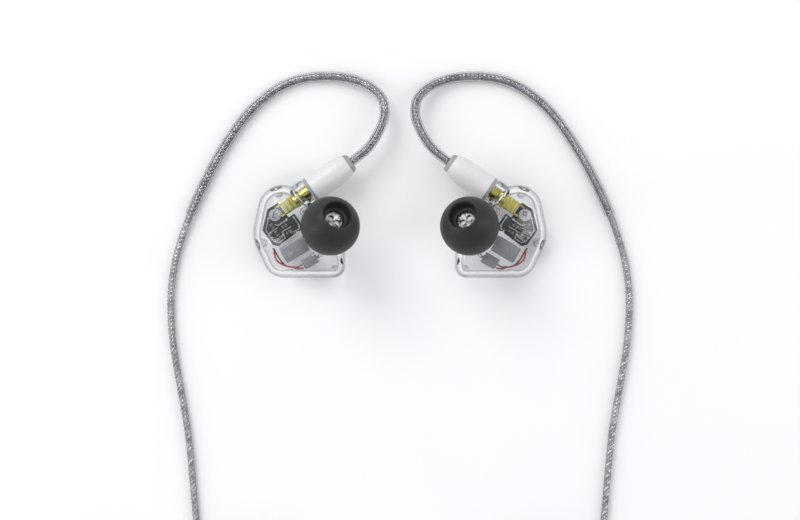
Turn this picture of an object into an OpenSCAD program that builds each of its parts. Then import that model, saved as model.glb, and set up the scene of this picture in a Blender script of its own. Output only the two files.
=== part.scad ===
// In-ear monitors: a mirrored pair of clear two-part earpieces, each with a
// circuit board, a snap-in cable socket, two balanced-armature drivers and a
// soft ear tip, on a braided cable with ear hooks, chin slider, Y-split and
// a 3.5 mm stereo plug. The pair lies on its flat outer faces.
// Millimetres, +Z up. The origin lies midway between the earpieces, on the surface.
// Everything is drawn for the right side; the left side is its mirror image.

/* [Shell] */
// Distance between the middles of the two earpieces
ear_spacing = 44.4; // [42:0.2:56]
// Length of a shell, left to right
shell_l = 20.3; // [19.5:0.1:26]
// Width of a shell, along Y
shell_w = 20.5; // [20:0.1:26]
// Height of a shell, without its nozzle
shell_h = 9.4; // [9:0.1:12]
// Height of the back shell, up to the seam
back_h = 2.3; // [2:0.1:3]
// Thickness of the shell walls
wall = 1.0; // [0.7:0.05:1.2]
// Radius of the shell's outer side
side_r = 7.8; // [7:0.1:9]
// Radius of the corner that carries the cable socket
socket_corner_r = 5.6; // [5:0.1:7]
// Radius of the side that carries the nozzle
nozzle_corner_r = 5.5; // [5:0.1:7]
// Radius of the lower inner corner
inner_corner_r = 2.6; // [2.2:0.1:3.5]
// Radius of the lower outer corner
outer_corner_r = 4.6; // [4:0.1:5.5]
// Height of the locating lip on the back shell
lip_h = 0.7; // [0.4:0.1:1]
// Width of the locating lip
lip_w = 0.4; // [0.3:0.05:0.5]

/* [Locating posts] */
// Diameter of the posts under the front shell
post_d = 2.2; // [1.8:0.1:2.4]
// Diameter of the back shell's pins
pin_d = 1.1; // [0.8:0.05:1.3]
// Height that a pin reaches above the seam
pin_rise = 2.0; // [1.4:0.1:2.2]

/* [Nozzle and ear tip] */
// Tilt of the nozzle away from vertical
nozzle_tilt = 32; // [25:1:38]
// Direction in which the nozzle tilts
nozzle_turn = 125; // [110:1:140]
// Length of the nozzle along its axis
nozzle_l = 10.6; // [9.5:0.1:12]
// Diameter of the nozzle's neck
nozzle_d = 3.6; // [3.2:0.1:4.4]
// Diameter of the flared foot of the nozzle
nozzle_foot_d = 5.8; // [5.4:0.1:6.6]
// Diameter of each sound bore
sound_bore_d = 1.2; // [1:0.05:1.4]
// Diameter of the ear tip
tip_d = 12.8; // [11:0.1:15.4]
// Diameter of the opening in the front of the ear tip
tip_mouth_d = 6.4; // [5:0.1:7.4]
// Thickness of the ear tip's soft flange
tip_wall = 0.7; // [0.5:0.05:0.9]

/* [Cable socket and plug] */
// Angle of the cable socket's axis
socket_turn = 35; // [30:1:40]
// Height of the socket's axis above the outer face
socket_z = 5.5; // [5.3:0.1:6.6]
// Diameter of the clear collar and of the connector hood
hood_d = 6.1; // [5.6:0.1:6.2]
// Length of the clear collar outside the shell
collar_l = 1.5; // [1.5:0.05:2.5]
// Length of the connector hood
hood_l = 11.3; // [10.5:0.1:13]
// Outside diameter of the socket's barrel
barrel_d = 3.2; // [3:0.05:3.4]
// Diameter of the socket's bore
socket_bore_d = 2.4; // [2.3:0.05:2.5]
// Length of the plug that goes into the socket
plug_l = 3.2; // [2.6:0.1:3.4]
// Diameter of the plug's centre pin
centre_pin_d = 0.4; // [0.3:0.05:0.45]

/* [Inside the shell] */
// Thickness of the circuit board
board_t = 0.8; // [0.6:0.1:1]
// Length of the board along the socket's axis
board_l = 7.6; // [7:0.1:7.6]
// Width of the board
board_w = 7.9; // [7:0.1:8]
// Length of the large driver
large_l = 5.8; // [5:0.1:6]
// Width of the large driver
large_w = 3.6; // [3:0.1:3.8]
// Height of the large driver
large_h = 2.6; // [2:0.1:3]
// Length of the small driver
small_l = 3.5; // [3:0.1:3.8]
// Width of the small driver
small_w = 2.4; // [2:0.1:2.6]
// Height of the small driver
small_h = 1.8; // [1.4:0.1:2.2]
// Outside diameter of the sound tubes
sound_tube_d = 1.0; // [0.8:0.05:1.1]
// Length of the damper in each sound bore
damper_l = 4.2; // [0.8:0.1:4.6]
// Diameter of the driver wires
wire_d = 0.42; // [0.3:0.02:0.5]

/* [Cable] */
// Diameter of each branch cable
branch_d = 1.65; // [1.4:0.05:1.8]
// Wall of the clear ear-hook sleeve
sleeve_wall = 0.2; // [0.15:0.05:0.3]
// Diameter of the trunk cable
trunk_d = 2.4; // [2:0.1:2.6]
// Thickness of the Y-split and of the chin slider
split_t = 5.0; // [4.6:0.1:6]
// Length of the Y-split
split_l = 12; // [10:0.5:14]
// Length of the chin slider
slider_l = 7; // [5:0.5:8]
// Width of the hook-and-loop ties
tie_w = 4; // [3:0.5:6]
// Thickness of the ties
tie_t = 0.4; // [0.3:0.05:0.6]

/* [Stereo plug] */
// Diameter of the stereo plug's contacts
jack_d = 3.5; // [3.5]
// Length of the contacts in front of the handle
jack_l = 14; // [14]
// Length of the plug's handle
handle_l = 18; // [15:0.5:20]
// Diameter of the handle
handle_d = 6.2; // [5.5:0.1:7]
// Length of the strain relief
relief_l = 9; // [7:0.5:9]

/* [Fits] */
// Clearance between pieces that slide or turn on each other
slide_fit = 0.1; // [0.05:0.05:0.2]
// Clearance between pieces that are fixed side by side
seat_fit = 0.05; // [0.02:0.01:0.1]
// Gap between the ear tip's bore and the nozzle's lip
tip_fit = 0.12; // [0.1:0.01:0.25]
// Gap between the turning hood and the collar
hood_gap = 0.15; // [0.1:0.05:0.3]

/* [Hidden] */
SIDE_PARTS = [
    "shell_back", "shell_front", "circuit_board", "side_label", "board_components",
    "cable_socket", "socket_insulator", "socket_contact", "large_driver",
    "small_driver", "sound_tubes", "sound_dampers", "red_wire", "brown_wire",
    "ear_tip", "connector_hood", "plug_shell", "plug_insulator", "plug_pin",
    "snap_ring", "ear_hook_sleeve", "branch_cable", "branch_coil"
];
SHARED_PARTS = [
    "chin_slider", "y_split", "trunk_cable", "trunk_coil", "cable_ties",
    "jack_relief", "jack_handle", "jack_sleeve", "jack_ring", "jack_tip",
    "jack_insulators"
];
$fn = 48;
eps = 0.01;

// Corner circles of the shell's outline, anticlockwise: [x, y, radius]
half_l = shell_l / 2;
half_w = shell_w / 2;
side_c = [half_l - side_r, -0.3, side_r];
socket_c = [half_l - socket_corner_r - 0.95, half_w - socket_corner_r, socket_corner_r];
nozzle_c = [nozzle_corner_r - half_l, -2.9, nozzle_corner_r];
inner_c = [inner_corner_r - half_l, inner_corner_r - half_w, inner_corner_r];
outer_c = [half_l - outer_corner_r - 2.15, outer_corner_r - half_w, outer_corner_r];
corners = [side_c, socket_c, nozzle_c, inner_c, outer_c];
corner_steps = 7;

// Seam and locating posts
seam_z = back_h + seat_fit;
post_z = seam_z + lip_h + 0.1;
post_top = seam_z + pin_rise + 1;
rim_post_inset = 0.4 + post_d / 2;
posts = [
    concat(on_corner(socket_c, 74, rim_post_inset), post_top),
    concat(on_corner(side_c, -22, rim_post_inset), post_top),
    concat(on_corner(inner_c, 244, rim_post_inset + 0.1), post_top),
    [socket_c[0] - 4.9, socket_c[1] - 0.5, shell_h - wall - 0.2]
];

// Nozzle: its root lies on the shell's top, over the nozzle corner
root = [nozzle_c[0] - 0.2, nozzle_c[1] + 0.6, shell_h - 0.4];
foot_z = 2.7;
foot_h = 1.3;
tip_z = nozzle_l - 2.9;
lip_d = nozzle_d + 0.3;
bore_gap = 0.85;
tip_r = tip_d / 2;
tip_bore_r = lip_d / 2 + tip_fit;
tip_core_r = tip_bore_r + 0.8;
nozzle_dir = [
    sin(nozzle_tilt) * cos(nozzle_turn),
    sin(nozzle_tilt) * sin(nozzle_turn),
    cos(nozzle_tilt)
];

// Distances along the socket's axis, counted inwards from the socket corner's middle
collar_end = -(socket_corner_r + collar_l);
hood_end = collar_end - hood_gap;
barrel_start = collar_end + 0.15;
block_start = -3.3;
block_end = -0.3;
plug_end = hood_end + plug_l;
plug_body_r = 1.6;
plug_body_l = 2.9;
plug_sleeve_r = socket_bore_d / 2 - slide_fit;
contact_r = 0.45;
ring_back = plug_end - 1.0;
ring_front = plug_end - 0.6;
ring_groove_r = plug_sleeve_r - 0.12;

// Board: its edge stands clear of the socket's block
board_z = socket_z - board_t / 2;
board_top = socket_z + board_t / 2;
board_start = block_end - 1.25;
board_side = 1.9;
label_d = 2.65;

// Drivers lie side by side, turned together
driver_turn = -30;
large_at = [socket_c[0] - 2.75, socket_c[1] - 8.6];
small_at = [large_at[0] - 3.35, large_at[1] - 2.5];
spout_l = 0.5;
bore_reach = 5.5;

// The routes are drawn for this distance from the middle to the earpiece, and follow it
drawn_ear_x = 22.2;
ear_shift = ear_spacing / 2 - drawn_ear_x;
sleeve_inner_d = branch_d + 0.15;
sleeve_d = sleeve_inner_d + 2 * sleeve_wall;
coil_exit_x = 31;
branch_gap = 3.0;
function on_table(z) = max(z, 0.485 * branch_d);
function from_ear(route) =
    [for (p = route) [p[0] + ear_shift, p[1], on_table(p[2])]];
function to_middle(route) =
    [
        for (p = route)
            [
                p[0] + ear_shift * (p[0] - branch_gap / 2) / (coil_exit_x - branch_gap / 2),
                p[1],
                on_table(p[2])
            ]
    ];

// Cable routes of the right side, from the plug to the coil and on to the Y-split
branch_route = from_ear([
    [17.0, 10.78, 5.5], [12.1, 14.2, 5.5], [10.2, 15.6, 5.5], [7.0, 18.3, 5.4],
    [4.7, 21.8, 5.0], [3.4, 25.5, 4.2], [3.8, 29.0, 3.3], [6.0, 31.5, 2.5],
    [9.5, 33.3, 1.8], [14.5, 34.2, 1.3], [20.9, 33.9, 1.1], [25.5, 32.4, 1.1],
    [29.5, 29.9, 1.1], [33.5, 26.2, 1.1], [37.0, 21.6, 1.1], [40.6, 15.8, 1.1],
    [43.6, 10.0, 1.1], [46.3, 4.0, 1.1], [48.2, -1.2, 0.9], [49.7, -6.5, 0.8],
    [50.6, -13.0, 0.8], [50.6, -20.0, 0.8], [49.8, -27.5, 0.8], [48.4, -35.5, 0.8],
    [47.1, -43.0, 0.8], [46.2, -51.0, 0.8], [45.5, -59.0, 0.8], [44.8, -67.0, 0.8],
    [44.2, -73.5, 1.1], [44.0, -76.5, 1.2]
]);
sleeve_first = 1;
sleeve_last = 17;
coil_route = to_middle([
    [31.0, -89.6, 2.8], [26.5, -89.6, 1.9], [21.0, -89.7, 1.1], [14.5, -89.9, 0.8],
    [8.8, -91.2, 1.0], [4.3, -94.4, 1.6], [2.0, -98.7, 2.3], [1.5, -103.0, 2.5],
    [1.5, -112.0, 2.5], [1.5, -121.0, 2.5]
]);
trunk_route = [
    [0, -129, 2.5], [0, -134, 2.4], [0, -139, 1.9], [0, -144, 1.6], [0, -148, 1.6]
];
plug_route = [
    [33.6, -148, 8.2], [33.6, -144.5, 6.6], [33.6, -141, 4.6], [33.6, -137, 3.0],
    [33.6, -132, 1.9], [33.6, -126, 1.6], [33.6, -120.5, 1.6], [33.6, -116.2, 1.6],
    [34.6, -113.0, 1.6], [37.0, -111.1, 1.65], [40.2, -110.8, 1.8], [43.0, -112.3, 2.1],
    [44.4, -114.8, 2.6], [44.6, -117, 2.95], [44.6, -118.8, 3.1], [44.6, -122, 3.1]
];

// Coils: middle, radius at the middle of the turns, turns across and levels
branch_coil_at = [33.4 + ear_shift, -79];
branch_coil_r = 9.7;
branch_turns_w = 3.5;
branch_coil_h = 2 * branch_d;
trunk_coil_at = [16.8, -153];
trunk_coil_r = 14;
trunk_turns_w = 8.1;
trunk_coil_h = 4 * trunk_d;

// Y-split and slider stand where the two branches run side by side
split_start = -119;
slider_start = -118.5;
split_w = branch_gap + 4.4;
relief_start = -120;
jack_x = 44.6;
jack_nose_r = 1.0;
jack_ring_l = 2.6;
jack_band_l = 0.7;
jack_tip_l = 4.0;
jack_sleeve_l = jack_l - jack_ring_l - 2 * jack_band_l - jack_tip_l;
jack_core_r = 0.9;
handle_start = relief_start - relief_l;
contacts_start = handle_start - handle_l;

// ---- Functions ----

function on_corner(c, angle, inset) =
    [c[0] + (c[2] - inset) * cos(angle), c[1] + (c[2] - inset) * sin(angle)];

function turn(a) = ((a % 360) + 360) % 360;

// Angle of the outward normal on the straight side between corners i and i + 1
function side_angle(i) =
    let (
        n = len(corners),
        p = corners[(i + n) % n],
        q = corners[(i + 1) % n],
        d = [q[0] - p[0], q[1] - p[1]]
    )
    atan2(d[1], d[0]) - acos((p[2] - q[2]) / norm(d));

// Normal angles and corner numbers round the outline
steps = [
    for (i = [0 : len(corners) - 1])
        let (
            from = side_angle(i - 1),
            sweep = turn(side_angle(i) - from)
        )
        for (k = [0 : corner_steps])
            [i, from + sweep * k / corner_steps]
];

function outline(inset) =
    [for (s = steps) on_corner(corners[s[0]], s[1], inset)];

function outline_at(inset, z) = [for (p = outline(inset)) [p[0], p[1], z]];

// A circle round the nozzle's axis, point for point with the outline
function nozzle_ring(r, along) =
    let (
        c = cos(nozzle_tilt) - 1,
        s = sin(nozzle_tilt),
        ct = cos(nozzle_turn),
        st = sin(nozzle_turn),
        ex = [1 + c * ct * ct, c * st * ct, -s * ct],
        ey = [c * st * ct, 1 + c * st * st, -s * st]
    )
    [for (p = steps) root + along * nozzle_dir + r * (cos(p[1]) * ex + sin(p[1]) * ey)];

function blend(a, b, f) = [for (i = [0 : len(a) - 1]) (1 - f) * a[i] + f * b[i]];

// The front shell's rings, from the seam up to the nozzle's foot
dome = [
    [0, 0], [0.008, 0.26], [0.035, 0.48], [0.085, 0.67], [0.16, 0.81],
    [0.27, 0.91], [0.42, 0.97], [0.6, 1], [0.8, 1], [1, 1]
];
function dome_rings(inset, base, drop) = [
    for (d = dome)
        blend(
            outline_at(inset, base + d[1] * (shell_h - drop - base)),
            nozzle_ring(nozzle_foot_d / 2 - inset, foot_z - drop),
            d[0]
        )
];
function foot_rings() = [
    nozzle_ring(nozzle_d / 2 + 0.35, foot_z + 0.5 * foot_h),
    nozzle_ring(nozzle_d / 2 - 0.2, foot_z + foot_h)
];

// A tube's rings along a route: eight sides, flat side down
function unit(v) = v / norm(v);
function tangent(route, i) =
    unit(route[min(i + 1, len(route) - 1)] - route[max(i - 1, 0)]);
function tube_rings(route, r) = [
    for (i = [0 : len(route) - 1])
        let (
            t = tangent(route, i),
            u = unit(cross(t, [0, 0, 1])),
            v = cross(t, u)
        )
        [for (k = [0 : 7]) route[i] + r * (cos(45 * k + 22.5) * u + sin(45 * k + 22.5) * v)]
];
function reversed(list) = [for (i = [len(list) - 1 : -1 : 0]) list[i]];
function part_of(list, first, last) = [for (i = [first : last]) list[i]];

// ---- Shared shapes ----

// Skin between rings of points; closed joins the last ring to the first
module skin(rings, closed = false) {
    n = len(rings[0]);
    m = len(rings);
    walls = [
        for (i = [0 : m - (closed ? 1 : 2)], k = [0 : n - 1])
            let (
                a = i * n + k,
                b = i * n + (k + 1) % n,
                c = ((i + 1) % m) * n + (k + 1) % n,
                d = ((i + 1) % m) * n + k
            )
            each [[a, d, c], [a, c, b]]
    ];
    caps = closed ? [] : [
        [for (k = [0 : n - 1]) k],
        [for (k = [n - 1 : -1 : 0]) (m - 1) * n + k]
    ];
    polyhedron(points = [for (r = rings) each r], faces = concat(caps, walls));
}

module tube(route, d) {
    skin(tube_rings(route, d / 2));
}

module hollow_tube(route, outer_d, inner_d) {
    skin(
        concat(
            tube_rings(route, outer_d / 2),
            reversed(tube_rings(route, inner_d / 2))
        ),
        closed = true
    );
}

module on_side(side) {
    mirror([side == "left" ? 1 : 0, 0, 0])
        children();
}

module on_ear(side) {
    on_side(side)
        translate([ear_spacing / 2, 0, 0])
            children();
}

// Local Z runs into the shell along the socket's axis
module on_socket(side) {
    on_ear(side)
        translate([socket_c[0], socket_c[1], socket_z])
            rotate([0, 0, -socket_turn])
                rotate([0, 90, 0])
                    children();
}

// Local X runs into the shell along the socket's axis, Z up
module on_board(side, z) {
    on_ear(side)
        translate([socket_c[0], socket_c[1], z])
            rotate([0, 0, -socket_turn])
                children();
}

// Local Z runs out along the nozzle
module on_nozzle_axis() {
    translate(root)
        rotate([0, 0, nozzle_turn])
            rotate([0, nozzle_tilt, 0])
                children();
}

module driver_box(side, at, size) {
    on_ear(side)
        translate([at[0], at[1], socket_z])
            rotate([0, 0, driver_turn]) {
                cube(size, center = true);
                translate([-size[0] / 2 - spout_l, 0, 0])
                    rotate([0, 90, 0])
                        cylinder(d = sound_tube_d - 0.3, h = spout_l + 0.2);
            }
}

// ---- Shell ----

module shell_back(side) {
    color([0.88, 0.9, 0.92, 0.4])
        on_ear(side) {
            difference() {
                skin([
                    outline_at(1.1, 0),
                    outline_at(0.45, 0.3),
                    outline_at(0.1, 0.85),
                    outline_at(0, 1.4),
                    outline_at(0, back_h)
                ]);
                skin([
                    outline_at(wall + 0.6, wall),
                    outline_at(wall, wall + 0.6),
                    outline_at(wall, back_h + 1)
                ]);
            }
            difference() {
                linear_extrude(height = back_h + lip_h)
                    polygon(outline(wall - lip_w));
                translate([0, 0, -eps])
                    linear_extrude(height = back_h + lip_h + 2 * eps)
                        polygon(outline(wall));
                translate([0, 0, -eps])
                    linear_extrude(height = back_h - 0.5)
                        polygon(outline(-1));
            }
            for (p = posts)
                translate([p[0], p[1], wall - 0.1])
                    cylinder(d = pin_d, h = seam_z + pin_rise - wall + 0.1);
        }
}

module shell_front(side) {
    color([0.9, 0.92, 0.94, 0.4])
        on_ear(side)
            difference() {
                union() {
                    difference() {
                        skin(concat(dome_rings(0, seam_z, 0), foot_rings()));
                        skin(dome_rings(wall, seam_z - 1, wall));
                    }
                    for (p = posts)
                        translate([p[0], p[1], post_z])
                            cylinder(d = post_d, h = p[2] - post_z);
                    on_nozzle_axis() {
                        translate([0, 0, foot_z])
                            cylinder(d = nozzle_d, h = nozzle_l - foot_z - 0.5);
                        translate([0, 0, nozzle_l - 0.5])
                            cylinder(d = lip_d, h = 0.5);
                    }
                    translate([socket_c[0], socket_c[1], socket_z])
                        rotate([0, 0, -socket_turn])
                            rotate([0, 90, 0])
                                translate([0, 0, collar_end])
                                    cylinder(d = hood_d, h = collar_l + wall + 1);
                }
                translate([0, 0, seam_z - 1])
                    linear_extrude(height = 1 + lip_h + seat_fit)
                        polygon(outline(wall - lip_w - seat_fit));
                for (p = posts)
                    translate([p[0], p[1], post_z - eps])
                        cylinder(d = pin_d + 2 * slide_fit, h = pin_rise - lip_h + 0.1);
                translate([socket_c[0], socket_c[1], socket_z])
                    rotate([0, 0, -socket_turn])
                        rotate([0, 90, 0])
                            translate([0, 0, collar_end - eps])
                                cylinder(
                                    d = barrel_d + 2 * seat_fit,
                                    h = block_start - collar_end
                                );
                on_nozzle_axis()
                    for (y = [-bore_gap, bore_gap])
                        translate([0, y, foot_z - 2.5 * wall])
                            cylinder(d = sound_bore_d, h = nozzle_l);
            }
}

// ---- Circuit board ----

module board_outline() {
    polygon([
        [block_end + 0.2, board_side], [2.6, board_side],
        [board_start + board_l, board_side - 3.1],
        [board_start + board_l, board_side - board_w + 0.9],
        [board_start + board_l - 0.9, board_side - board_w],
        [board_start, board_side - board_w], [board_start, -board_side - 0.3],
        [block_end + 0.2, -board_side - 0.3]
    ]);
}

module circuit_board(side) {
    color([0.16, 0.18, 0.2])
        on_board(side, board_z)
            linear_extrude(height = board_t)
                board_outline();
}

module side_label(side) {
    color([0.6, 0.6, 0.6])
        on_board(side, board_top)
            translate([1.95, 0, 0])
                cylinder(d = label_d, h = 0.1);
}

// Two capacitors and two resistors on the board
module board_components(side) {
    color([0.55, 0.47, 0.36])
        on_board(side, board_top)
            for (p = [[3.9, -1.7, 0], [3.9, -3.6, 0], [1.6, -3.2, 90], [1.6, -4.9, 90]])
                translate([p[0], p[1], 0])
                    rotate([0, 0, p[2]])
                        translate([-0.35, -0.6, 0])
                            cube([0.7, 1.2, 0.5]);
}

// ---- Cable socket ----

module cable_socket(side) {
    block = barrel_d - 0.3;
    color([0.75, 0.68, 0.3])
        on_socket(side) {
            difference() {
                union() {
                    translate([0, 0, barrel_start])
                        cylinder(d = barrel_d, h = block_start - barrel_start);
                    translate([-block / 2, -block / 2, block_start - eps])
                        cube([block, block, block_end - block_start]);
                }
                translate([0, 0, barrel_start - eps])
                    cylinder(d = socket_bore_d, h = block_end - barrel_start + 1);
            }
            for (y = [-1, 1])
                translate([-board_t / 2 - 0.4, y * (block / 2 - 0.3) - 0.15, block_end - 0.2])
                    cube([0.4, 0.3, 1.5]);
        }
}

module socket_insulator(side) {
    color([0.9, 0.9, 0.86])
        on_socket(side)
            translate([0, 0, plug_end + 0.3])
                difference() {
                    cylinder(d = socket_bore_d, h = block_end - plug_end - 0.5);
                    translate([0, 0, -eps])
                        cylinder(r = contact_r, h = 10);
                }
}

module socket_contact(side) {
    color([0.8, 0.7, 0.3])
        on_socket(side)
            difference() {
                translate([0, 0, hood_end + 1.2])
                    cylinder(r = contact_r, h = block_end - hood_end - 1.4);
                translate([0, 0, hood_end + 1.2 - eps])
                    cylinder(d = centre_pin_d + slide_fit, h = plug_l - 1);
            }
}

// ---- Drivers and sound path ----

module large_driver(side) {
    color([0.55, 0.55, 0.57])
        driver_box(side, large_at, [large_l, large_w, large_h]);
}

module small_driver(side) {
    color([0.58, 0.58, 0.6])
        driver_box(side, small_at, [small_l, small_w, small_h]);
}

function spout(at, l) =
    [
        at[0] - (l / 2 + spout_l) * cos(driver_turn),
        at[1] - (l / 2 + spout_l) * sin(driver_turn),
        socket_z
    ];
function bore_point(y, along) =
    root + along * nozzle_dir + y * [-sin(nozzle_turn), cos(nozzle_turn), 0];

// One bent tube's route: from a driver's spout to its bore, then up the bore
function sound_route(at, l, y) =
    let (
        start = spout(at, l) + 0.25 * [-cos(driver_turn), -sin(driver_turn), 0],
        elbow = bore_point(y, 0.6)
    )
    [
        start,
        start + 0.3 * (elbow - start) + [0, 0, -0.5],
        start + 0.75 * (elbow - start) + [0, 0, -0.25],
        bore_point(y, 1.6),
        bore_point(y, 2.6),
        bore_point(y, bore_reach)
    ];

module sound_tubes(side) {
    color([0.85, 0.87, 0.88])
        on_ear(side)
            for (t = [[large_at, large_l, -bore_gap], [small_at, small_l, bore_gap]])
                hollow_tube(sound_route(t[0], t[1], t[2]), sound_tube_d, sound_tube_d - 0.4);
}

module sound_dampers(side) {
    color([0.75, 0.75, 0.72])
        on_ear(side)
            on_nozzle_axis()
                for (y = [-bore_gap, bore_gap])
                    translate([0, y, bore_reach + 0.1])
                        cylinder(d = sound_bore_d, h = damper_l);
}

// ---- Driver wires: from the board's lower corner round the large driver ----

function wire_route(shift, rise) = [
    for (p = [[8.2, -4.4], [7.2, -6.6], [5.2, -8.1], [3.2, -8.5], [1.75, -8.1]])
        [
            large_at[0] + p[0] - 3.6 + shift * 0.5,
            large_at[1] + p[1] + 4.45 + shift,
            socket_z + rise
        ]
];

module red_wire(side) {
    color([0.7, 0.1, 0.1])
        on_ear(side)
            tube(wire_route(-0.25, 1.12), wire_d);
}

module brown_wire(side) {
    color([0.3, 0.16, 0.12])
        on_ear(side)
            tube(wire_route(0.25, 0.65), wire_d);
}

// ---- Ear tip: soft flange folded back over a core tube ----

function arc_points(r, from, to, count) =
    [for (i = [0 : count]) r * [cos(from + (to - from) * i / count),
                                sin(from + (to - from) * i / count)]];

module ear_tip(side) {
    mouth = acos(tip_mouth_d / 2 / tip_r);
    skirt = -32;
    color([0.2, 0.2, 0.21])
        on_ear(side)
            on_nozzle_axis()
                translate([0, 0, tip_z])
                    rotate_extrude()
                        polygon(concat(
                            arc_points(tip_r, mouth, skirt, 20),
                            arc_points(tip_r - tip_wall, skirt, 50, 16),
                            [
                                [tip_core_r, tip_r - tip_wall - 2],
                                [tip_core_r, 0.55 - 0.6 * tip_r],
                                [tip_bore_r, 0.55 - 0.6 * tip_r],
                                [tip_bore_r, 3.2]
                            ]
                        ));
}

// ---- Plug and hood on the cable ----

module connector_hood(side) {
    hood_r = hood_d / 2;
    color([0.82, 0.82, 0.83])
        on_socket(side)
            translate([0, 0, hood_end])
                rotate([180, 0, 0])
                    rotate_extrude()
                        polygon([
                            [plug_body_r, 0], [hood_r - 0.25, 0], [hood_r, 0.3],
                            [hood_r, 6.6], [hood_r - 0.15, 8], [hood_r - 0.45, 9.3],
                            [hood_r - 0.9, hood_l - 1], [hood_r - 1.3, hood_l],
                            [sleeve_d / 2 + seat_fit, hood_l],
                            [sleeve_d / 2 + seat_fit, hood_l - 2.2],
                            [branch_d / 2 + 0.1, hood_l - 2.2],
                            [branch_d / 2 + 0.1, plug_body_l], [plug_body_r, plug_body_l]
                        ]);
}

module plug_shell(side) {
    color([0.8, 0.7, 0.35])
        on_socket(side)
            rotate_extrude()
                polygon([
                    [0.75, hood_end - plug_body_l], [plug_body_r, hood_end - plug_body_l],
                    [plug_body_r, hood_end - 0.1], [plug_sleeve_r, hood_end - 0.1],
                    [plug_sleeve_r, ring_back], [ring_groove_r, ring_back],
                    [ring_groove_r, ring_front], [plug_sleeve_r, ring_front],
                    [plug_sleeve_r, plug_end], [0.75, plug_end]
                ]);
}

module plug_insulator(side) {
    color([0.92, 0.92, 0.9])
        on_socket(side)
            translate([0, 0, hood_end - plug_body_l])
                difference() {
                    cylinder(r = 0.75, h = plug_body_l + 0.9);
                    translate([0, 0, -eps])
                        cylinder(d = centre_pin_d, h = 10);
                }
}

module plug_pin(side) {
    color([0.85, 0.75, 0.35])
        on_socket(side)
            translate([0, 0, hood_end - plug_body_l])
                cylinder(d = centre_pin_d, h = plug_body_l + plug_l - 0.4);
}

// Split spring ring in the plug's groove
module snap_ring(side) {
    color([0.85, 0.85, 0.86])
        on_socket(side)
            translate([0, 0, ring_back + 0.03])
                difference() {
                    cylinder(r = socket_bore_d / 2 - 0.04, h = ring_front - ring_back - 0.06);
                    translate([0, 0, -1])
                        cylinder(r = ring_groove_r + 0.02, h = 3);
                    translate([-0.15, 0, -1])
                        cube([0.3, 3, 3]);
                }
}

// ---- Cables ----

module ear_hook_sleeve(side) {
    color([0.8, 0.82, 0.84])
        on_side(side)
            hollow_tube(
                part_of(branch_route, sleeve_first, sleeve_last),
                sleeve_d,
                sleeve_inner_d
            );
}

module branch_cable(side) {
    color([0.6, 0.6, 0.62])
        on_side(side) {
            tube(branch_route, branch_d);
            tube(coil_route, branch_d);
        }
}

module ring_solid(middle, r, w, h) {
    translate([middle[0], middle[1], tie_t])
        rotate_extrude($fn = 96)
            translate([r - w / 2, 0])
                square([w, h]);
}

module branch_coil(side) {
    color([0.58, 0.58, 0.6])
        on_side(side)
            ring_solid(branch_coil_at, branch_coil_r, branch_turns_w, branch_coil_h);
}

module chin_slider() {
    color([0.8, 0.8, 0.81])
        translate([0, slider_start, split_t / 2])
            rotate([-90, 0, 0])
                difference() {
                    union() {
                        for (x = [-1, 1])
                            translate([x * branch_gap / 2, 0, 0])
                                cylinder(d = split_t - 0.6, h = slider_l);
                        translate([-branch_gap / 2, 0.3 - split_t / 2, 0])
                            cube([branch_gap, split_t - 0.6, slider_l]);
                    }
                    for (x = [-1, 1])
                        translate([x * branch_gap / 2, 0, -eps])
                            cylinder(d = branch_d + 0.4, h = slider_l + 1);
                }
}

module y_split() {
    color([0.8, 0.8, 0.81])
        translate([0, split_start, split_t / 2])
            rotate([90, 0, 0])
                difference() {
                    union() {
                        for (x = [-1, 1])
                            translate([x * branch_gap / 2, 0, 0])
                                cylinder(d = split_t, h = split_l / 2);
                        translate([-branch_gap / 2, -split_t / 2, 0])
                            cube([branch_gap, split_t, split_l / 2]);
                        translate([0, 0, split_l / 2 - eps])
                            cylinder(d1 = split_t, d2 = trunk_d + 1.6, h = split_l / 2);
                    }
                    for (x = [-1, 1])
                        translate([x * branch_gap / 2, 0, -eps])
                            cylinder(d = branch_d + 0.1, h = 2.1);
                    translate([0, 0, split_l - 2.1])
                        cylinder(d = trunk_d + 0.1, h = 3);
                }
}

module trunk_cable() {
    color([0.6, 0.6, 0.62]) {
        tube(trunk_route, trunk_d);
        tube(plug_route, trunk_d);
    }
}

module trunk_coil() {
    color([0.58, 0.58, 0.6])
        ring_solid(trunk_coil_at, trunk_coil_r, trunk_turns_w, trunk_coil_h);
}

// A flat band wrapped round a coil's turns
module tie(middle, r, w, h, at_angle) {
    span = tie_w / r * 180 / PI;
    translate([middle[0], middle[1], 0])
        rotate([0, 0, at_angle - span / 2])
            rotate_extrude(angle = span, $fn = 96)
                difference() {
                    translate([r - w / 2 - tie_t, 0])
                        square([w + 2 * tie_t, h + 2 * tie_t]);
                    translate([r - w / 2, tie_t])
                        square([w, h]);
                }
}

module cable_ties() {
    color([0.15, 0.15, 0.16]) {
        for (side = ["left", "right"])
            on_side(side)
                tie(branch_coil_at, branch_coil_r, branch_turns_w, branch_coil_h, 140);
        tie(trunk_coil_at, trunk_coil_r, trunk_turns_w, trunk_coil_h, 270);
    }
}

// ---- 3.5 mm stereo plug, lying along -Y ----

module on_jack(y) {
    translate([jack_x, y, handle_d / 2])
        rotate([90, 0, 0])
            children();
}

module jack_relief() {
    color([0.75, 0.75, 0.76])
        on_jack(relief_start)
            difference() {
                cylinder(d1 = trunk_d + 1, d2 = handle_d - 1.4, h = relief_l);
                translate([0, 0, -eps])
                    cylinder(d = trunk_d + 0.1, h = 2.4);
            }
}

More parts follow.
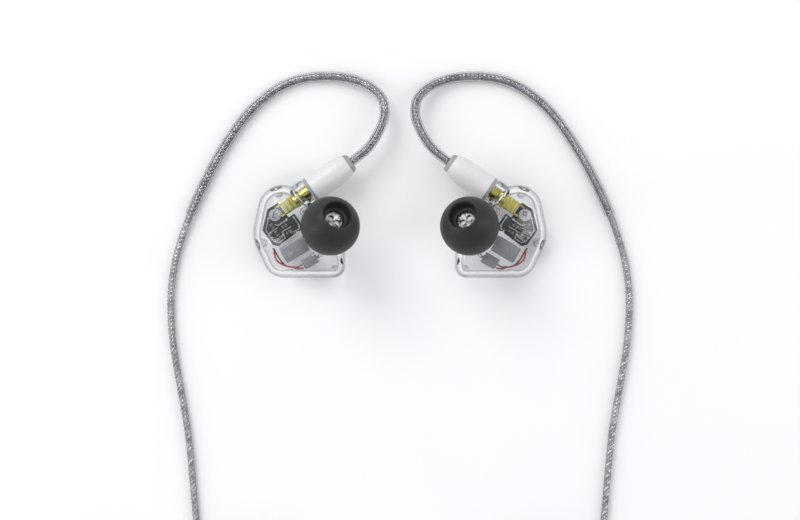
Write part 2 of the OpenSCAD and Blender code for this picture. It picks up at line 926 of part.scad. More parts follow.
module jack_handle() {
    color([0.8, 0.8, 0.81])
        on_jack(handle_start)
            rotate_extrude()
                polygon([
                    [0, 0], [handle_d / 2 - 0.4, 0], [handle_d / 2, 0.5],
                    [handle_d / 2, handle_l - 2], [handle_d / 2 - 0.5, handle_l - 1.2],
                    [handle_d / 2 - 0.5, handle_l], [0, handle_l]
                ]);
}

// Tube contact between two distances from the handle
module contact_tube(from, to) {
    difference() {
        translate([0, 0, from])
            cylinder(d = jack_d, h = to - from);
        translate([0, 0, from - eps])
            cylinder(r = jack_core_r, h = to - from + 2 * eps);
    }
}

module jack_sleeve() {
    color([0.85, 0.76, 0.5])
        on_jack(contacts_start)
            contact_tube(0, jack_sleeve_l);
}

module jack_ring() {
    color([0.85, 0.76, 0.5])
        on_jack(contacts_start)
            contact_tube(jack_sleeve_l + jack_band_l, jack_sleeve_l + jack_band_l + jack_ring_l);
}

// Nose and the rod that runs back through the other contacts
module jack_tip() {
    start = jack_l - jack_tip_l;
    color([0.85, 0.76, 0.5])
        on_jack(contacts_start)
            rotate_extrude()
                polygon([
                    [0, 0], [jack_core_r, 0], [jack_core_r, start], [jack_d / 2, start],
                    [jack_d / 2 - 0.45, start + 0.9], [jack_d / 2 - 0.45, start + 1.3],
                    [jack_d / 2, start + 2], [jack_nose_r, jack_l - 0.3],
                    [jack_nose_r - 0.3, jack_l], [0, jack_l]
                ]);
}

module jack_insulators() {
    color([0.12, 0.12, 0.13])
        on_jack(contacts_start)
            for (from = [jack_sleeve_l, jack_sleeve_l + jack_band_l + jack_ring_l])
                contact_tube(from, from + jack_band_l);
}

// ---- Nodes ----

shell_back("left");  // left_shell_back
shell_front("left");  // left_shell_front
circuit_board("left");  // left_circuit_board
side_label("left");  // left_side_label
board_components("left");  // left_board_components
cable_socket("left");  // left_cable_socket
socket_insulator("left");  // left_socket_insulator
socket_contact("left");  // left_socket_contact
large_driver("left");  // left_large_driver
small_driver("left");  // left_small_driver
sound_tubes("left");  // left_sound_tubes
sound_dampers("left");  // left_sound_dampers
red_wire("left");  // left_red_wire
brown_wire("left");  // left_brown_wire
ear_tip("left");  // left_ear_tip
connector_hood("left");  // left_connector_hood
plug_shell("left");  // left_plug_shell
plug_insulator("left");  // left_plug_insulator
plug_pin("left");  // left_plug_pin
snap_ring("left");  // left_snap_ring
ear_hook_sleeve("left");  // left_ear_hook_sleeve
branch_cable("left");  // left_branch_cable
branch_coil("left");  // left_branch_coil
shell_back("right");  // right_shell_back
shell_front("right");  // right_shell_front
circuit_board("right");  // right_circuit_board
side_label("right");  // right_side_label
board_components("right");  // right_board_components
cable_socket("right");  // right_cable_socket
socket_insulator("right");  // right_socket_insulator
socket_contact("right");  // right_socket_contact
large_driver("right");  // right_large_driver
small_driver("right");  // right_small_driver
sound_tubes("right");  // right_sound_tubes
sound_dampers("right");  // right_sound_dampers
red_wire("right");  // right_red_wire
brown_wire("right");  // right_brown_wire
ear_tip("right");  // right_ear_tip
connector_hood("right");  // right_connector_hood
plug_shell("right");  // right_plug_shell
plug_insulator("right");  // right_plug_insulator
plug_pin("right");  // right_plug_pin
snap_ring("right");  // right_snap_ring
ear_hook_sleeve("right");  // right_ear_hook_sleeve
branch_cable("right");  // right_branch_cable
branch_coil("right");  // right_branch_coil
chin_slider();
y_split();
trunk_cable();
trunk_coil();
cable_ties();
jack_relief();
jack_handle();
jack_sleeve();
jack_ring();
jack_tip();
jack_insulators();
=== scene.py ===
import math

import bmesh
import bpy
from mathutils import Matrix, Vector


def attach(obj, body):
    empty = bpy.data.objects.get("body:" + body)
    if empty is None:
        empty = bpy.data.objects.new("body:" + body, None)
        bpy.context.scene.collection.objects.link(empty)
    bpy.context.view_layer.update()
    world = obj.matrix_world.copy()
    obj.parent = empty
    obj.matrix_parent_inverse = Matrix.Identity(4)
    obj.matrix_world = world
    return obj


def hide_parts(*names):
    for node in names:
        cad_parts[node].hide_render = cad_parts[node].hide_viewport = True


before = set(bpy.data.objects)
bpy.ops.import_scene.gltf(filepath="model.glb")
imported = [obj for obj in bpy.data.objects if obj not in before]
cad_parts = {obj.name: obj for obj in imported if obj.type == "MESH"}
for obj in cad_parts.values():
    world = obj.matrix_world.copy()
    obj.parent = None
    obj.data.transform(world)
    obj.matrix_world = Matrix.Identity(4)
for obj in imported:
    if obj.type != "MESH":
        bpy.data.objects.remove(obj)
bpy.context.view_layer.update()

# ---- Camera ----
# A long lens straight above the pair, so that both earpieces are seen from their ear side
# and the width of the view is even across it.
FRAME_WIDTH = 0.176
LENS = 120.0
SENSOR = 36.0
NEAREST = 0.01
CAMERA_LOOKS_AT = Vector((0.0, -0.0063, 0.004))

camera_data = bpy.data.cameras.new("camera")
camera_data.lens = LENS
camera_data.sensor_width = SENSOR
camera_data.clip_start = NEAREST


def placed(name, data):
    """A new object in the scene, at the origin."""
    made = bpy.data.objects.new(name, data)
    bpy.context.scene.collection.objects.link(made)
    return made


camera = placed("camera", camera_data)
camera.location = CAMERA_LOOKS_AT + Vector((0, 0, FRAME_WIDTH * LENS / SENSOR))
bpy.context.scene.camera = camera

# ---- Branch cables ----
# Four bundles of fine silver-plated wire, twisted and held in a clear jacket. Each leaves
# its connector hood, runs through the ear hook and lies on the table down to its coil,
# whose turns lie beside and on each other, and then runs on to the Y-split.
MM = 0.001
BRANCH_D = 1.65 * MM
BRANCH_STEP = 0.45 * MM
BRANCH_PITCH = 3.6 * MM
BUNDLES = 4
BUNDLE_DEPTH = 0.16
POINTS_ROUND_CABLE = 20
SURFACE_GAP = 0.4 * MM
SIDES = {"left": -1, "right": 1}
BRANCH_ROUTE = [
    (17.0, 10.78, 5.5), (12.1, 14.2, 5.5), (10.2, 15.6, 5.5), (7.0, 18.3, 5.4),
    (4.7, 21.8, 5.0), (3.4, 25.5, 4.2), (3.8, 29.0, 3.3), (6.0, 31.5, 2.5),
    (9.5, 33.3, 1.8), (14.5, 34.2, 1.3), (20.9, 33.9, 1.1), (25.5, 32.4, 1.1),
    (29.5, 29.9, 1.1), (33.5, 26.2, 1.1), (37.0, 21.6, 1.1), (40.6, 15.8, 1.1),
    (43.6, 10.0, 1.1), (46.3, 4.0, 1.1), (48.2, -1.2, 0.9), (49.7, -6.5, 0.8),
    (50.6, -13.0, 0.8), (50.6, -20.0, 0.8), (49.8, -27.5, 0.8), (48.4, -35.5, 0.8),
    (47.1, -43.0, 0.8), (46.2, -51.0, 0.8), (45.5, -59.0, 0.8), (44.8, -67.0, 0.8),
    (44.2, -73.5, 1.1),
]
AFTER_COIL_ROUTE = [
    (27.5, -89.6, 2.1), (21.0, -89.7, 1.1), (14.5, -89.9, 0.85), (8.8, -91.2, 1.0),
    (4.3, -94.4, 1.6), (2.0, -98.7, 2.3), (1.5, -103.0, 2.5), (1.5, -112.0, 2.5),
    (1.5, -120.5, 2.5),
]
BRANCH_COIL = {
    "middle": (33.4, -79.0), "r_out": 10.6 * MM, "r_in": 8.75 * MM, "start": 0, "way": -1,
    "turns": 2.25, "levels": 2, "d": BRANCH_D,
}


def in_metres(points):
    return [Vector(p) * MM for p in points]


def finer(points, pieces):
    """Points on a Catmull-Rom line through the given ones, so many to each piece."""
    ends = [2 * points[0] - points[1]] + list(points) + [2 * points[-1] - points[-2]]
    fine = []
    for a, b, c, d in zip(ends, ends[1:], ends[2:], ends[3:]):
        for k in range(pieces):
            t = k / pieces
            fine.append(
                0.5 * ((2 * b) + (c - a) * t + (2 * a - 5 * b + 4 * c - d) * t ** 2
                       + (3 * b - a - 3 * c + d) * t ** 3)
            )
    return fine + [points[-1]]


def smooth_line(points, step):
    """A smooth line through the points, cut into equal steps."""
    fine = finer(points, 24)
    line = [fine[0]]
    walked = 0.0
    for a, b in zip(fine, fine[1:]):
        walked += (b - a).length
        if walked >= step:
            line.append(b)
            walked = 0.0
    if (line[-1] - fine[-1]).length > step / 2:
        line.append(fine[-1])
    return line


def smooth_step(x):
    x = min(1.0, max(0.0, x))
    return x * x * (3 - 2 * x)


def coil_turns(middle, r_out, r_in, start, way, turns, levels, d):
    """Points of a neat coil: each level winds across its width, the next lies on it."""
    points_per_turn = 40
    climb = 0.09
    points = []
    count = int(turns * points_per_turn)
    per_level = turns / levels
    for k in range(count + 1):
        at = turns * k / count
        level = min(levels - 1, int(at / per_level))
        across = at / per_level - level
        share = across if level % 2 == 0 else 1 - across
        r = r_out + (r_in - r_out) * share
        height = level + smooth_step((at - (level + 1) * per_level + climb) / (2 * climb))
        if level > 0:
            passed = at - level * per_level
            height -= 1 - smooth_step((passed + climb) / (2 * climb))
        height = min(height, levels - 1)
        angle = math.radians(start) + way * 2 * math.pi * at
        points.append(Vector((
            middle[0] * MM + r * math.cos(angle),
            middle[1] * MM + r * math.sin(angle),
            SURFACE_GAP + d / 2 + height * d,
        )))
    return points


def mirrored(points, side):
    return [Vector((SIDES[side] * p[0], p[1], p[2])) for p in points]


def line_length(line):
    return sum((b - a).length for a, b in zip(line, line[1:]))


branch_line = smooth_line(
    in_metres(BRANCH_ROUTE) + coil_turns(**BRANCH_COIL) + in_metres(AFTER_COIL_ROUTE),
    BRANCH_STEP,
)


BROAD_SHARE = 0.12
GRAIN_DEPTH = 0.00005


def fine_grain_group():
    """Colour, roughness and height that vary finely over a surface."""
    group = bpy.data.node_groups.new("fine_grain", "ShaderNodeTree")
    for name, kind, value in (
        ("Scale", "NodeSocketFloat", 1000.0),
        ("Colour A", "NodeSocketColor", (0.5, 0.5, 0.5, 1)),
        ("Colour B", "NodeSocketColor", (0.6, 0.6, 0.6, 1)),
        ("Rough A", "NodeSocketFloat", 0.4),
        ("Rough B", "NodeSocketFloat", 0.5),
    ):
        item = group.interface.new_socket(name, in_out="INPUT", socket_type=kind)
        item.default_value = value
    for name, kind in (
        ("Colour", "NodeSocketColor"), ("Roughness", "NodeSocketFloat"),
        ("Height", "NodeSocketFloat"),
    ):
        group.interface.new_socket(name, in_out="OUTPUT", socket_type=kind)
    nodes = group.nodes
    links = group.links
    given = nodes.new("NodeGroupInput")
    coords = nodes.new("ShaderNodeTexCoord")
    fine = nodes.new("ShaderNodeTexNoise")
    fine.inputs["Detail"].default_value = 3.0
    links.new(coords.outputs["Object"], fine.inputs["Vector"])
    links.new(given.outputs["Scale"], fine.inputs["Scale"])
    slow = nodes.new("ShaderNodeMath")
    slow.operation = "MULTIPLY"
    slow.inputs[1].default_value = BROAD_SHARE
    links.new(given.outputs["Scale"], slow.inputs[0])
    broad = nodes.new("ShaderNodeTexNoise")
    links.new(coords.outputs["Object"], broad.inputs["Vector"])
    links.new(slow.outputs[0], broad.inputs["Scale"])
    both = nodes.new("ShaderNodeMath")
    both.operation = "ADD"
    links.new(fine.outputs["Fac"], both.inputs[0])
    links.new(broad.outputs["Fac"], both.inputs[1])
    share = nodes.new("ShaderNodeMapRange")
    share.inputs["From Min"].default_value = 0.75
    share.inputs["From Max"].default_value = 1.25
    links.new(both.outputs[0], share.inputs["Value"])
    colour = nodes.new("ShaderNodeMix")
    colour.data_type = "RGBA"
    links.new(share.outputs[0], colour.inputs["Factor"])
    links.new(given.outputs["Colour A"], colour.inputs[6])
    links.new(given.outputs["Colour B"], colour.inputs[7])
    rough = nodes.new("ShaderNodeMapRange")
    links.new(share.outputs[0], rough.inputs["Value"])
    links.new(given.outputs["Rough A"], rough.inputs["To Min"])
    links.new(given.outputs["Rough B"], rough.inputs["To Max"])
    out = nodes.new("NodeGroupOutput")
    links.new(colour.outputs[2], out.inputs["Colour"])
    links.new(rough.outputs[0], out.inputs["Roughness"])
    links.new(fine.outputs["Fac"], out.inputs["Height"])
    return group


FINE_GRAIN = fine_grain_group()


def grained(name, light, dark, rough, scale, bump, **constants):
    """A Principled material whose colour, roughness and bump come from fine_grain."""
    material = bpy.data.materials.new(name)
    material.use_nodes = True
    nodes = material.node_tree.nodes
    links = material.node_tree.links
    shader = nodes["Principled BSDF"]
    grain = nodes.new("ShaderNodeGroup")
    grain.node_tree = FINE_GRAIN
    for key, value in (
        ("Scale", scale), ("Colour A", (*light, 1)), ("Colour B", (*dark, 1)),
        ("Rough A", rough[0]), ("Rough B", rough[1]),
    ):
        grain.inputs[key].default_value = value
    relief = nodes.new("ShaderNodeBump")
    relief.inputs["Strength"].default_value = bump
    relief.inputs["Distance"].default_value = GRAIN_DEPTH
    links.new(grain.outputs["Height"], relief.inputs["Height"])
    links.new(grain.outputs["Colour"], shader.inputs["Base Color"])
    links.new(grain.outputs["Roughness"], shader.inputs["Roughness"])
    links.new(relief.outputs["Normal"], shader.inputs["Normal"])
    for key, value in constants.items():
        shader.inputs[key.replace("_", " ")].default_value = value
    return material


def twisted_wire_material():
    """Silver strands that wind round the cable, under a glossy clear jacket."""
    material = grained(
        "twisted_silver_wire", (0.74, 0.74, 0.76), (0.26, 0.26, 0.275), (0.22, 0.38), 5000, 0.5,
        Metallic=0.75, Coat_Weight=0.8, Coat_Roughness=0.08,
    )
    nodes = material.node_tree.nodes
    links = material.node_tree.links
    shader = nodes["Principled BSDF"]
    along = nodes.new("ShaderNodeUVMap")
    along.uv_map = "along"
    strands = nodes.new("ShaderNodeTexWave")
    strands.wave_type = "BANDS"
    strands.bands_direction = "DIAGONAL"
    strands.inputs["Scale"].default_value = 2.2
    strands.inputs["Distortion"].default_value = 0.4
    links.new(along.outputs["UV"], strands.inputs["Vector"])
    shade = nodes.new("ShaderNodeMix")
    shade.data_type = "RGBA"
    shade.blend_type = "MULTIPLY"
    shade.inputs["Factor"].default_value = 0.75
    grain_colour = shader.inputs["Base Color"].links[0].from_socket
    links.new(grain_colour, shade.inputs[6])
    links.new(strands.outputs["Color"], shade.inputs[7])
    links.new(shade.outputs[2], shader.inputs["Base Color"])
    return material


WIRE_SILVER = twisted_wire_material()


def twist_tree():
    """Sweeps a lobed section along a line, turning as it goes, as twisted bundles do."""
    tree = bpy.data.node_groups.new("twisted_bundles", "GeometryNodeTree")
    face = tree.interface
    face.new_socket("Line", in_out="INPUT", socket_type="NodeSocketGeometry")
    for name, value in (
        ("Radius", BRANCH_D / 2), ("Lobe Depth", BUNDLE_DEPTH), ("Pitch", BRANCH_PITCH),
    ):
        item = face.new_socket(name, in_out="INPUT", socket_type="NodeSocketFloat")
        item.default_value = value
    item = face.new_socket("Lobes", in_out="INPUT", socket_type="NodeSocketInt")
    item.default_value = BUNDLES
    face.new_socket("Material", in_out="INPUT", socket_type="NodeSocketMaterial")
    face.new_socket("Cable", in_out="OUTPUT", socket_type="NodeSocketGeometry")
    nodes = tree.nodes
    links = tree.links
    given = nodes.new("NodeGroupInput")

    def maths(operation, a, b=None):
        node = nodes.new("ShaderNodeMath")
        node.operation = operation
        for slot_number, value in enumerate((a, b)):
            if isinstance(value, (int, float)):
                node.inputs[slot_number].default_value = value
            elif value is not None:
                links.new(value, node.inputs[slot_number])
        return node.outputs[0]

    walked = nodes.new("GeometryNodeSplineParameter").outputs["Length"]
    turns = maths("DIVIDE", walked, given.outputs["Pitch"])
    tilt = nodes.new("GeometryNodeSetCurveTilt")
    links.new(given.outputs["Line"], tilt.inputs["Curve"])
    links.new(maths("MULTIPLY", turns, 2 * math.pi), tilt.inputs["Tilt"])
    ring = nodes.new("GeometryNodeCurvePrimitiveCircle")
    ring.inputs["Resolution"].default_value = POINTS_ROUND_CABLE
    links.new(given.outputs["Radius"], ring.inputs["Radius"])
    around = maths(
        "MULTIPLY", nodes.new("GeometryNodeSplineParameter").outputs["Factor"], 2 * math.pi
    )
    wave = maths("COSINE", maths("MULTIPLY", around, given.outputs["Lobes"]))
    dent = maths("MULTIPLY", maths("SUBTRACT", wave, 1.0), given.outputs["Lobe Depth"])
    swell = maths("ADD", maths("MULTIPLY", dent, 0.5), 1.0)
    place = nodes.new("GeometryNodeInputPosition")
    scaled = nodes.new("ShaderNodeVectorMath")
    scaled.operation = "SCALE"
    links.new(place.outputs[0], scaled.inputs[0])
    links.new(swell, scaled.inputs["Scale"])
    lobed = nodes.new("GeometryNodeSetPosition")
    links.new(ring.outputs["Curve"], lobed.inputs["Geometry"])
    links.new(scaled.outputs[0], lobed.inputs["Position"])
    sweep = nodes.new("GeometryNodeCurveToMesh")
    sweep.inputs["Fill Caps"].default_value = True
    links.new(tilt.outputs["Curve"], sweep.inputs["Curve"])
    links.new(lobed.outputs["Geometry"], sweep.inputs["Profile Curve"])
    real = nodes.new("GeometryNodeRealizeInstances")
    links.new(sweep.outputs["Mesh"], real.inputs["Geometry"])
    paint = nodes.new("GeometryNodeSetMaterial")
    links.new(real.outputs[0], paint.inputs["Geometry"])
    links.new(given.outputs["Material"], paint.inputs["Material"])
    out = nodes.new("NodeGroupOutput")
    links.new(paint.outputs["Geometry"], out.inputs["Cable"])
    return tree


TWISTED_BUNDLES = twist_tree()


def curve_object(name, line):
    curve = bpy.data.curves.new(name, "CURVE")
    curve.dimensions = "3D"
    spline = curve.splines.new("POLY")
    spline.points.add(len(line) - 1)
    for point, p in zip(spline.points, line):
        point.co = (*p, 1)
    return placed(name, curve)


def settled(piece):
    """A plain mesh object from a piece and its modifiers; the maker's copy goes."""
    bpy.context.view_layer.update()
    graph = bpy.context.evaluated_depsgraph_get()
    mesh = bpy.data.meshes.new_from_object(piece.evaluated_get(graph))
    name = piece.name
    bpy.data.objects.remove(piece)
    return placed(name, mesh)


def smoothed(piece, sharp_degrees=35):
    for polygon in piece.data.polygons:
        polygon.use_smooth = True
    piece.data.set_sharp_from_angle(angle=math.radians(sharp_degrees))
    return piece


def swept(name, line, tree_inputs):
    maker = curve_object(name, line)
    modifier = maker.modifiers.new("twisted_bundles", "NODES")
    modifier.node_group = TWISTED_BUNDLES
    for item in TWISTED_BUNDLES.interface.items_tree:
        if item.in_out == "INPUT" and item.name in tree_inputs:
            modifier[item.identifier] = tree_inputs[item.name]
    return settled(maker)


def unwrap_along(piece, line, pitch):
    """UV along and round a swept piece, so that strands follow the cable."""
    ring = POINTS_ROUND_CABLE
    loops = piece.data.loops
    layer = piece.data.uv_layers.new(name="along")
    step = line_length(line) / (len(line) - 1)
    for polygon in piece.data.polygons:
        first_column = min(loops[i].vertex_index % ring for i in polygon.loop_indices)
        for i in polygon.loop_indices:
            v = loops[i].vertex_index
            column = v % ring
            if first_column == 0 and column == ring - 1:
                column = -1
            layer.data[i].uv = (
                column / ring * BUNDLES, (v // ring) * step / pitch * BUNDLES
            )


def twisted_cable(name, line, d, pitch):
    piece = swept(name, line, {
        "Radius": d / 2, "Lobe Depth": BUNDLE_DEPTH, "Pitch": pitch, "Lobes": BUNDLES,
        "Material": WIRE_SILVER,
    })
    unwrap_along(piece, line, pitch)
    return smoothed(piece, 60)


def lay_cord(piece):
    """Puts a cable on the cable set."""
    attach(piece, "cable_set")


for side in SIDES:
    line = mirrored(branch_line, side)
    branch = twisted_cable(f"{side}_twisted_branch_cable", line, BRANCH_D, BRANCH_PITCH)
    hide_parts(f"{side}_branch_cable", f"{side}_branch_coil")
    lay_cord(branch)

# ---- Trunk cable ----
# The four bundles of both sides in one thicker jacket, from the Y-split through the
# stored coil to the stereo plug, which lies beside the coil.
TRUNK_D = 2.4 * MM
TRUNK_STEP = 0.7 * MM
TRUNK_PITCH = 8 * MM
TRUNK_ROUTE = [(0, -129, 2.5), (0, -134, 2.4), (0, -139, 1.9), (0, -144, 1.6), (0, -148, 1.6)]
PLUG_ROUTE = [
    (33.6, -148, 8.2), (33.6, -144.5, 6.6), (33.6, -141, 4.6), (33.6, -137, 3.0),
    (33.6, -132, 1.9), (33.6, -126, 1.6), (33.6, -120.5, 1.6), (33.6, -116.2, 1.6),
    (34.6, -113.0, 1.6), (37.0, -111.1, 1.65), (40.2, -110.8, 1.8), (43.0, -112.3, 2.1),
    (44.4, -114.8, 2.6), (44.6, -117, 2.95), (44.6, -118.8, 3.1), (44.6, -122, 3.1),
]
TRUNK_COIL = {
    "middle": (16.8, -153.0), "r_out": 16.8 * MM, "r_in": 11.15 * MM, "start": 180, "way": 1,
    "turns": 9.5, "levels": 4, "d": TRUNK_D,
}
trunk_line = smooth_line(
    in_metres(TRUNK_ROUTE) + coil_turns(**TRUNK_COIL) + in_metres(PLUG_ROUTE), TRUNK_STEP
)
trunk = twisted_cable("twisted_trunk_cable", trunk_line, TRUNK_D, TRUNK_PITCH)
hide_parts("trunk_cable", "trunk_coil")
lay_cord(trunk)

# ---- Clear shells ----
# Each shell is two clear polycarbonate mouldings: a flat-bottomed back half and a domed
# front half that flares into the sound nozzle. Four posts join them. They are polished.
CORNERS = [
    (2.35, -0.3, 7.8), (3.6, 4.65, 5.6), (-4.65, -2.9, 5.5), (-7.55, -7.65, 2.6),
    (3.4, -5.65, 4.6),
]
EAR_X = 22.2
SHELL_H = 9.4
SHELL_WALL = 1.0
SEAM_Z = 2.35
SOCKET_AXIS_Z = 5.5
SOCKET_MIDDLE = Vector((3.6, 4.65, SOCKET_AXIS_Z))
SOCKET_TURN = math.radians(35)
SOCKET_WAY = Vector((math.cos(SOCKET_TURN), -math.sin(SOCKET_TURN), 0))
SOCKET_ACROSS = Vector((math.sin(SOCKET_TURN), math.cos(SOCKET_TURN), 0))
NOZZLE_ROOT = Vector((-4.85, -2.3, 9.0))
NOZZLE_TILT, NOZZLE_TURN = math.radians(32), math.radians(125)
NOZZLE_WAY = Vector((
    math.sin(NOZZLE_TILT) * math.cos(NOZZLE_TURN),
    math.sin(NOZZLE_TILT) * math.sin(NOZZLE_TURN),
    math.cos(NOZZLE_TILT),
))
NOZZLE_ACROSS = Vector((-math.sin(NOZZLE_TURN), math.cos(NOZZLE_TURN), 0))
NOZZLE_FOOT_R = 2.9
NOZZLE_FOOT_ALONG = 2.7
BORE_SHIFT = 0.85
BORE_R = 0.6
POST_R = 1.1
POST_FOOT = 0.8
POSTS = [
    (4.73, 8.59, 5.35), (8.19, -2.66, 5.35), (-7.99, -8.55, 5.35), (-1.3, 4.15, 8.2),
]
POINTS_PER_CORNER = 24
POINTS_PER_SIDE = 6


def shell_outline():
    """Points round the shell, each with its outward direction in radians."""
    count = len(CORNERS)

    def side_direction(i):
        p, q = CORNERS[i % count], CORNERS[(i + 1) % count]
        gap = math.hypot(q[0] - p[0], q[1] - p[1])
        return math.atan2(q[1] - p[1], q[0] - p[0]) - math.acos((p[2] - q[2]) / gap)

    points = []
    for i, (x, y, r) in enumerate(CORNERS):
        start = side_direction(i - 1)
        sweep = (side_direction(i) - start) % (2 * math.pi)
        for k in range(POINTS_PER_CORNER + 1):
            a = start + sweep * k / POINTS_PER_CORNER
            points.append((x + r * math.cos(a), y + r * math.sin(a), a))
        nx, ny, nr = CORNERS[(i + 1) % count]
        a = start + sweep
        ax, ay = x + r * math.cos(a), y + r * math.sin(a)
        bx, by = nx + nr * math.cos(a), ny + nr * math.sin(a)
        for k in range(1, POINTS_PER_SIDE):
            share = k / POINTS_PER_SIDE
            points.append((ax + (bx - ax) * share, ay + (by - ay) * share, a))
    return points


OUTLINE = shell_outline()


def outline_ring(inset, z):
    return [
        Vector((x - inset * math.cos(a), y - inset * math.sin(a), z)) for x, y, a in OUTLINE
    ]


def nozzle_ring(r, along):
    """A circle round the nozzle, point for point with the shell's outline."""
    turn = Matrix.Rotation(NOZZLE_TURN, 3, "Z") @ Matrix.Rotation(NOZZLE_TILT, 3, "Y")
    turn = turn @ Matrix.Rotation(-NOZZLE_TURN, 3, "Z")
    middle = NOZZLE_ROOT + along * NOZZLE_WAY
    return [
        middle + r * (turn @ Vector((math.cos(a), math.sin(a), 0))) for x, y, a in OUTLINE
    ]


def smooth_profile(points, pieces=5):
    """More points on a smooth line through pairs of numbers."""
    return [(p.x, p.y) for p in finer([Vector((*p, 0)) for p in points], pieces)]


DOME = smooth_profile([
    (0, 0), (0.008, 0.26), (0.035, 0.48), (0.085, 0.67), (0.16, 0.81), (0.27, 0.91),
    (0.42, 0.97), (0.6, 1), (0.8, 1), (1, 1),
])


def dome_loft(inset, base, drop):
    """Rings from the seam over the dome to the foot of the nozzle."""
    rings = []
    for share, height in DOME:
        low = outline_ring(inset, base + height * (SHELL_H - drop - base))
        top = nozzle_ring(NOZZLE_FOOT_R - inset, NOZZLE_FOOT_ALONG - drop)
        rings.append([a.lerp(b, share) for a, b in zip(low, top)])
    return rings


def mesh_from(name, bm):
    """Ends a bmesh in a new mesh."""
    mesh = bpy.data.meshes.new(name)
    bm.to_mesh(mesh)
    bm.free()
    return mesh


TOUCHING = 1e-7


def closed_loft(name, rings):
    """A closed mesh object through rings of points, in the right earpiece's millimetres."""
    count = len(rings[0])
    faces = []
    for j in range(len(rings) - 1):
        for i in range(count):
            k = (i + 1) % count
            faces.append((j * count + i, j * count + k, (j + 1) * count + k, (j + 1) * count + i))
    if (rings[0][0] - rings[-1][0]).length > 1e-6:
        faces.append(tuple(reversed(range(count))))
        faces.append(tuple(range((len(rings) - 1) * count, len(rings) * count)))
    rough_mesh = bpy.data.meshes.new(name)
    rough_mesh.from_pydata([p * MM for ring in rings for p in ring], [], faces)
    bm = bmesh.new()
    bm.from_mesh(rough_mesh)
    bpy.data.meshes.remove(rough_mesh)
    bmesh.ops.remove_doubles(bm, verts=bm.verts, dist=TOUCHING)
    bmesh.ops.dissolve_degenerate(bm, edges=bm.edges, dist=TOUCHING)
    bmesh.ops.recalc_face_normals(bm, faces=bm.faces)
    return placed(name, mesh_from(name, bm))


def turned(name, profile, base, way, steps=64):
    """A closed turned mesh: profile is (radius, distance along way) in millimetres."""
    way = Vector(way).normalized()
    side = way.orthogonal().normalized()
    other = way.cross(side)
    rings = []
    for r, along in profile:
        middle = Vector(base) + way * along
        rings.append([
            middle + r * (side * math.cos(2 * math.pi * i / steps)
                          + other * math.sin(2 * math.pi * i / steps))
            for i in range(steps)
        ])
    return closed_loft(name, rings)


def cut(body, tool, operation="DIFFERENCE"):
    modifier = body.modifiers.new("cut", "BOOLEAN")
    modifier.operation = operation
    modifier.solver = "EXACT"
    modifier.object = tool
    body = settled(body)
    bpy.data.objects.remove(tool)
    return body


def joined(name, pieces):
    bm = bmesh.new()
    for piece in pieces:
        bm.from_mesh(piece.data)
        bpy.data.objects.remove(piece)
    return placed(name, mesh_from(name, bm))


def moved_to_side(piece, side, name, from_ear=True):
    """A copy of a right-hand piece in the model's frame, mirrored for the left side."""
    mesh = piece.data.copy()
    mesh.name = name
    if from_ear:
        mesh.transform(Matrix.Translation((EAR_X * MM, 0, 0)))
    if side == "left":
        mesh.transform(Matrix.Scale(-1, 4, (1, 0, 0)))
        mesh.flip_normals()
    return placed(name, mesh)


def both_sides(piece, what, body, material, nodes, sharp=35, from_ear=True):
    """Left and right copies of a piece, each riding on its body and standing for nodes."""
    for side in SIDES:
        copy = moved_to_side(piece, side, f"{side}_{what}", from_ear)
        copy.data.materials.clear()
        copy.data.materials.append(material)
        smoothed(copy, sharp)
        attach(copy, body.format(side=side))
        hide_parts(*[f"{side}_{node}" for node in nodes])
    bpy.data.objects.remove(piece)


# Facing value at which the painted rim shade is full.
PAINTED_RIM_SHADE_FULL = 0.92
SMOKE = (0.55, 0.58, 0.62, 1)


def clear_material(name, tint, edge_tint, rough, density, painted_rim_shade, painted_rim_shade_from, shadow, ior):
    """Clear plastic: its colour is painted grey where it is seen edge on, as painted shade for
    the dark rim lines that refraction draws, and it lets light through.
    """
    material = grained(
        name, tint, edge_tint, rough, 300, 0.001,
        IOR=ior, Transmission_Weight=1.0, Metallic=0.0, Specular_IOR_Level=0.25,
    )
    nodes = material.node_tree.nodes
    links = material.node_tree.links
    shader = nodes["Principled BSDF"]
    # Painted shade: the base colour turns towards a grey where the surface is seen edge on,
    # standing in for the dark lines that refraction draws at the rims.
    facing = nodes.new("ShaderNodeLayerWeight")
    facing.inputs["Blend"].default_value = 0.5
    edge = nodes.new("ShaderNodeMapRange")
    edge.interpolation_type = "SMOOTHSTEP"
    edge.inputs["From Min"].default_value = painted_rim_shade_from
    edge.inputs["From Max"].default_value = PAINTED_RIM_SHADE_FULL
    links.new(facing.outputs["Facing"], edge.inputs["Value"])
    rim = nodes.new("ShaderNodeMix")
    rim.data_type = "RGBA"
    rim.inputs[7].default_value = (*painted_rim_shade, 1)
    grain_colour = shader.inputs["Base Color"].links[0].from_socket
    links.new(edge.outputs[0], rim.inputs["Factor"])
    links.new(grain_colour, rim.inputs[6])
    links.new(rim.outputs[2], shader.inputs["Base Color"])
    path = nodes.new("ShaderNodeLightPath")
    let_through = nodes.new("ShaderNodeBsdfTransparent")
    let_through.inputs["Color"].default_value = (*shadow, 1)
    either = nodes.new("ShaderNodeMixShader")
    links.new(path.outputs["Is Shadow Ray"], either.inputs[0])
    links.new(shader.outputs[0], either.inputs[1])
    links.new(let_through.outputs[0], either.inputs[2])
    links.new(either.outputs[0], nodes["Material Output"].inputs["Surface"])
    absorb = nodes.new("ShaderNodeVolumeAbsorption")
    absorb.inputs["Color"].default_value = SMOKE
    absorb.inputs["Density"].default_value = density
    links.new(absorb.outputs["Volume"], nodes["Material Output"].inputs["Volume"])
    return material


# The dark grey and 0.36 are the painted rim shade and the facing where it begins.
CLEAR_SHELL = clear_material(
    "polished_clear_polycarbonate", (0.992, 0.994, 0.997), (0.98, 0.983, 0.988), (0.01, 0.03),
    20, (0.07, 0.075, 0.09), 0.36, (0.985, 0.987, 0.99), 1.32,
)

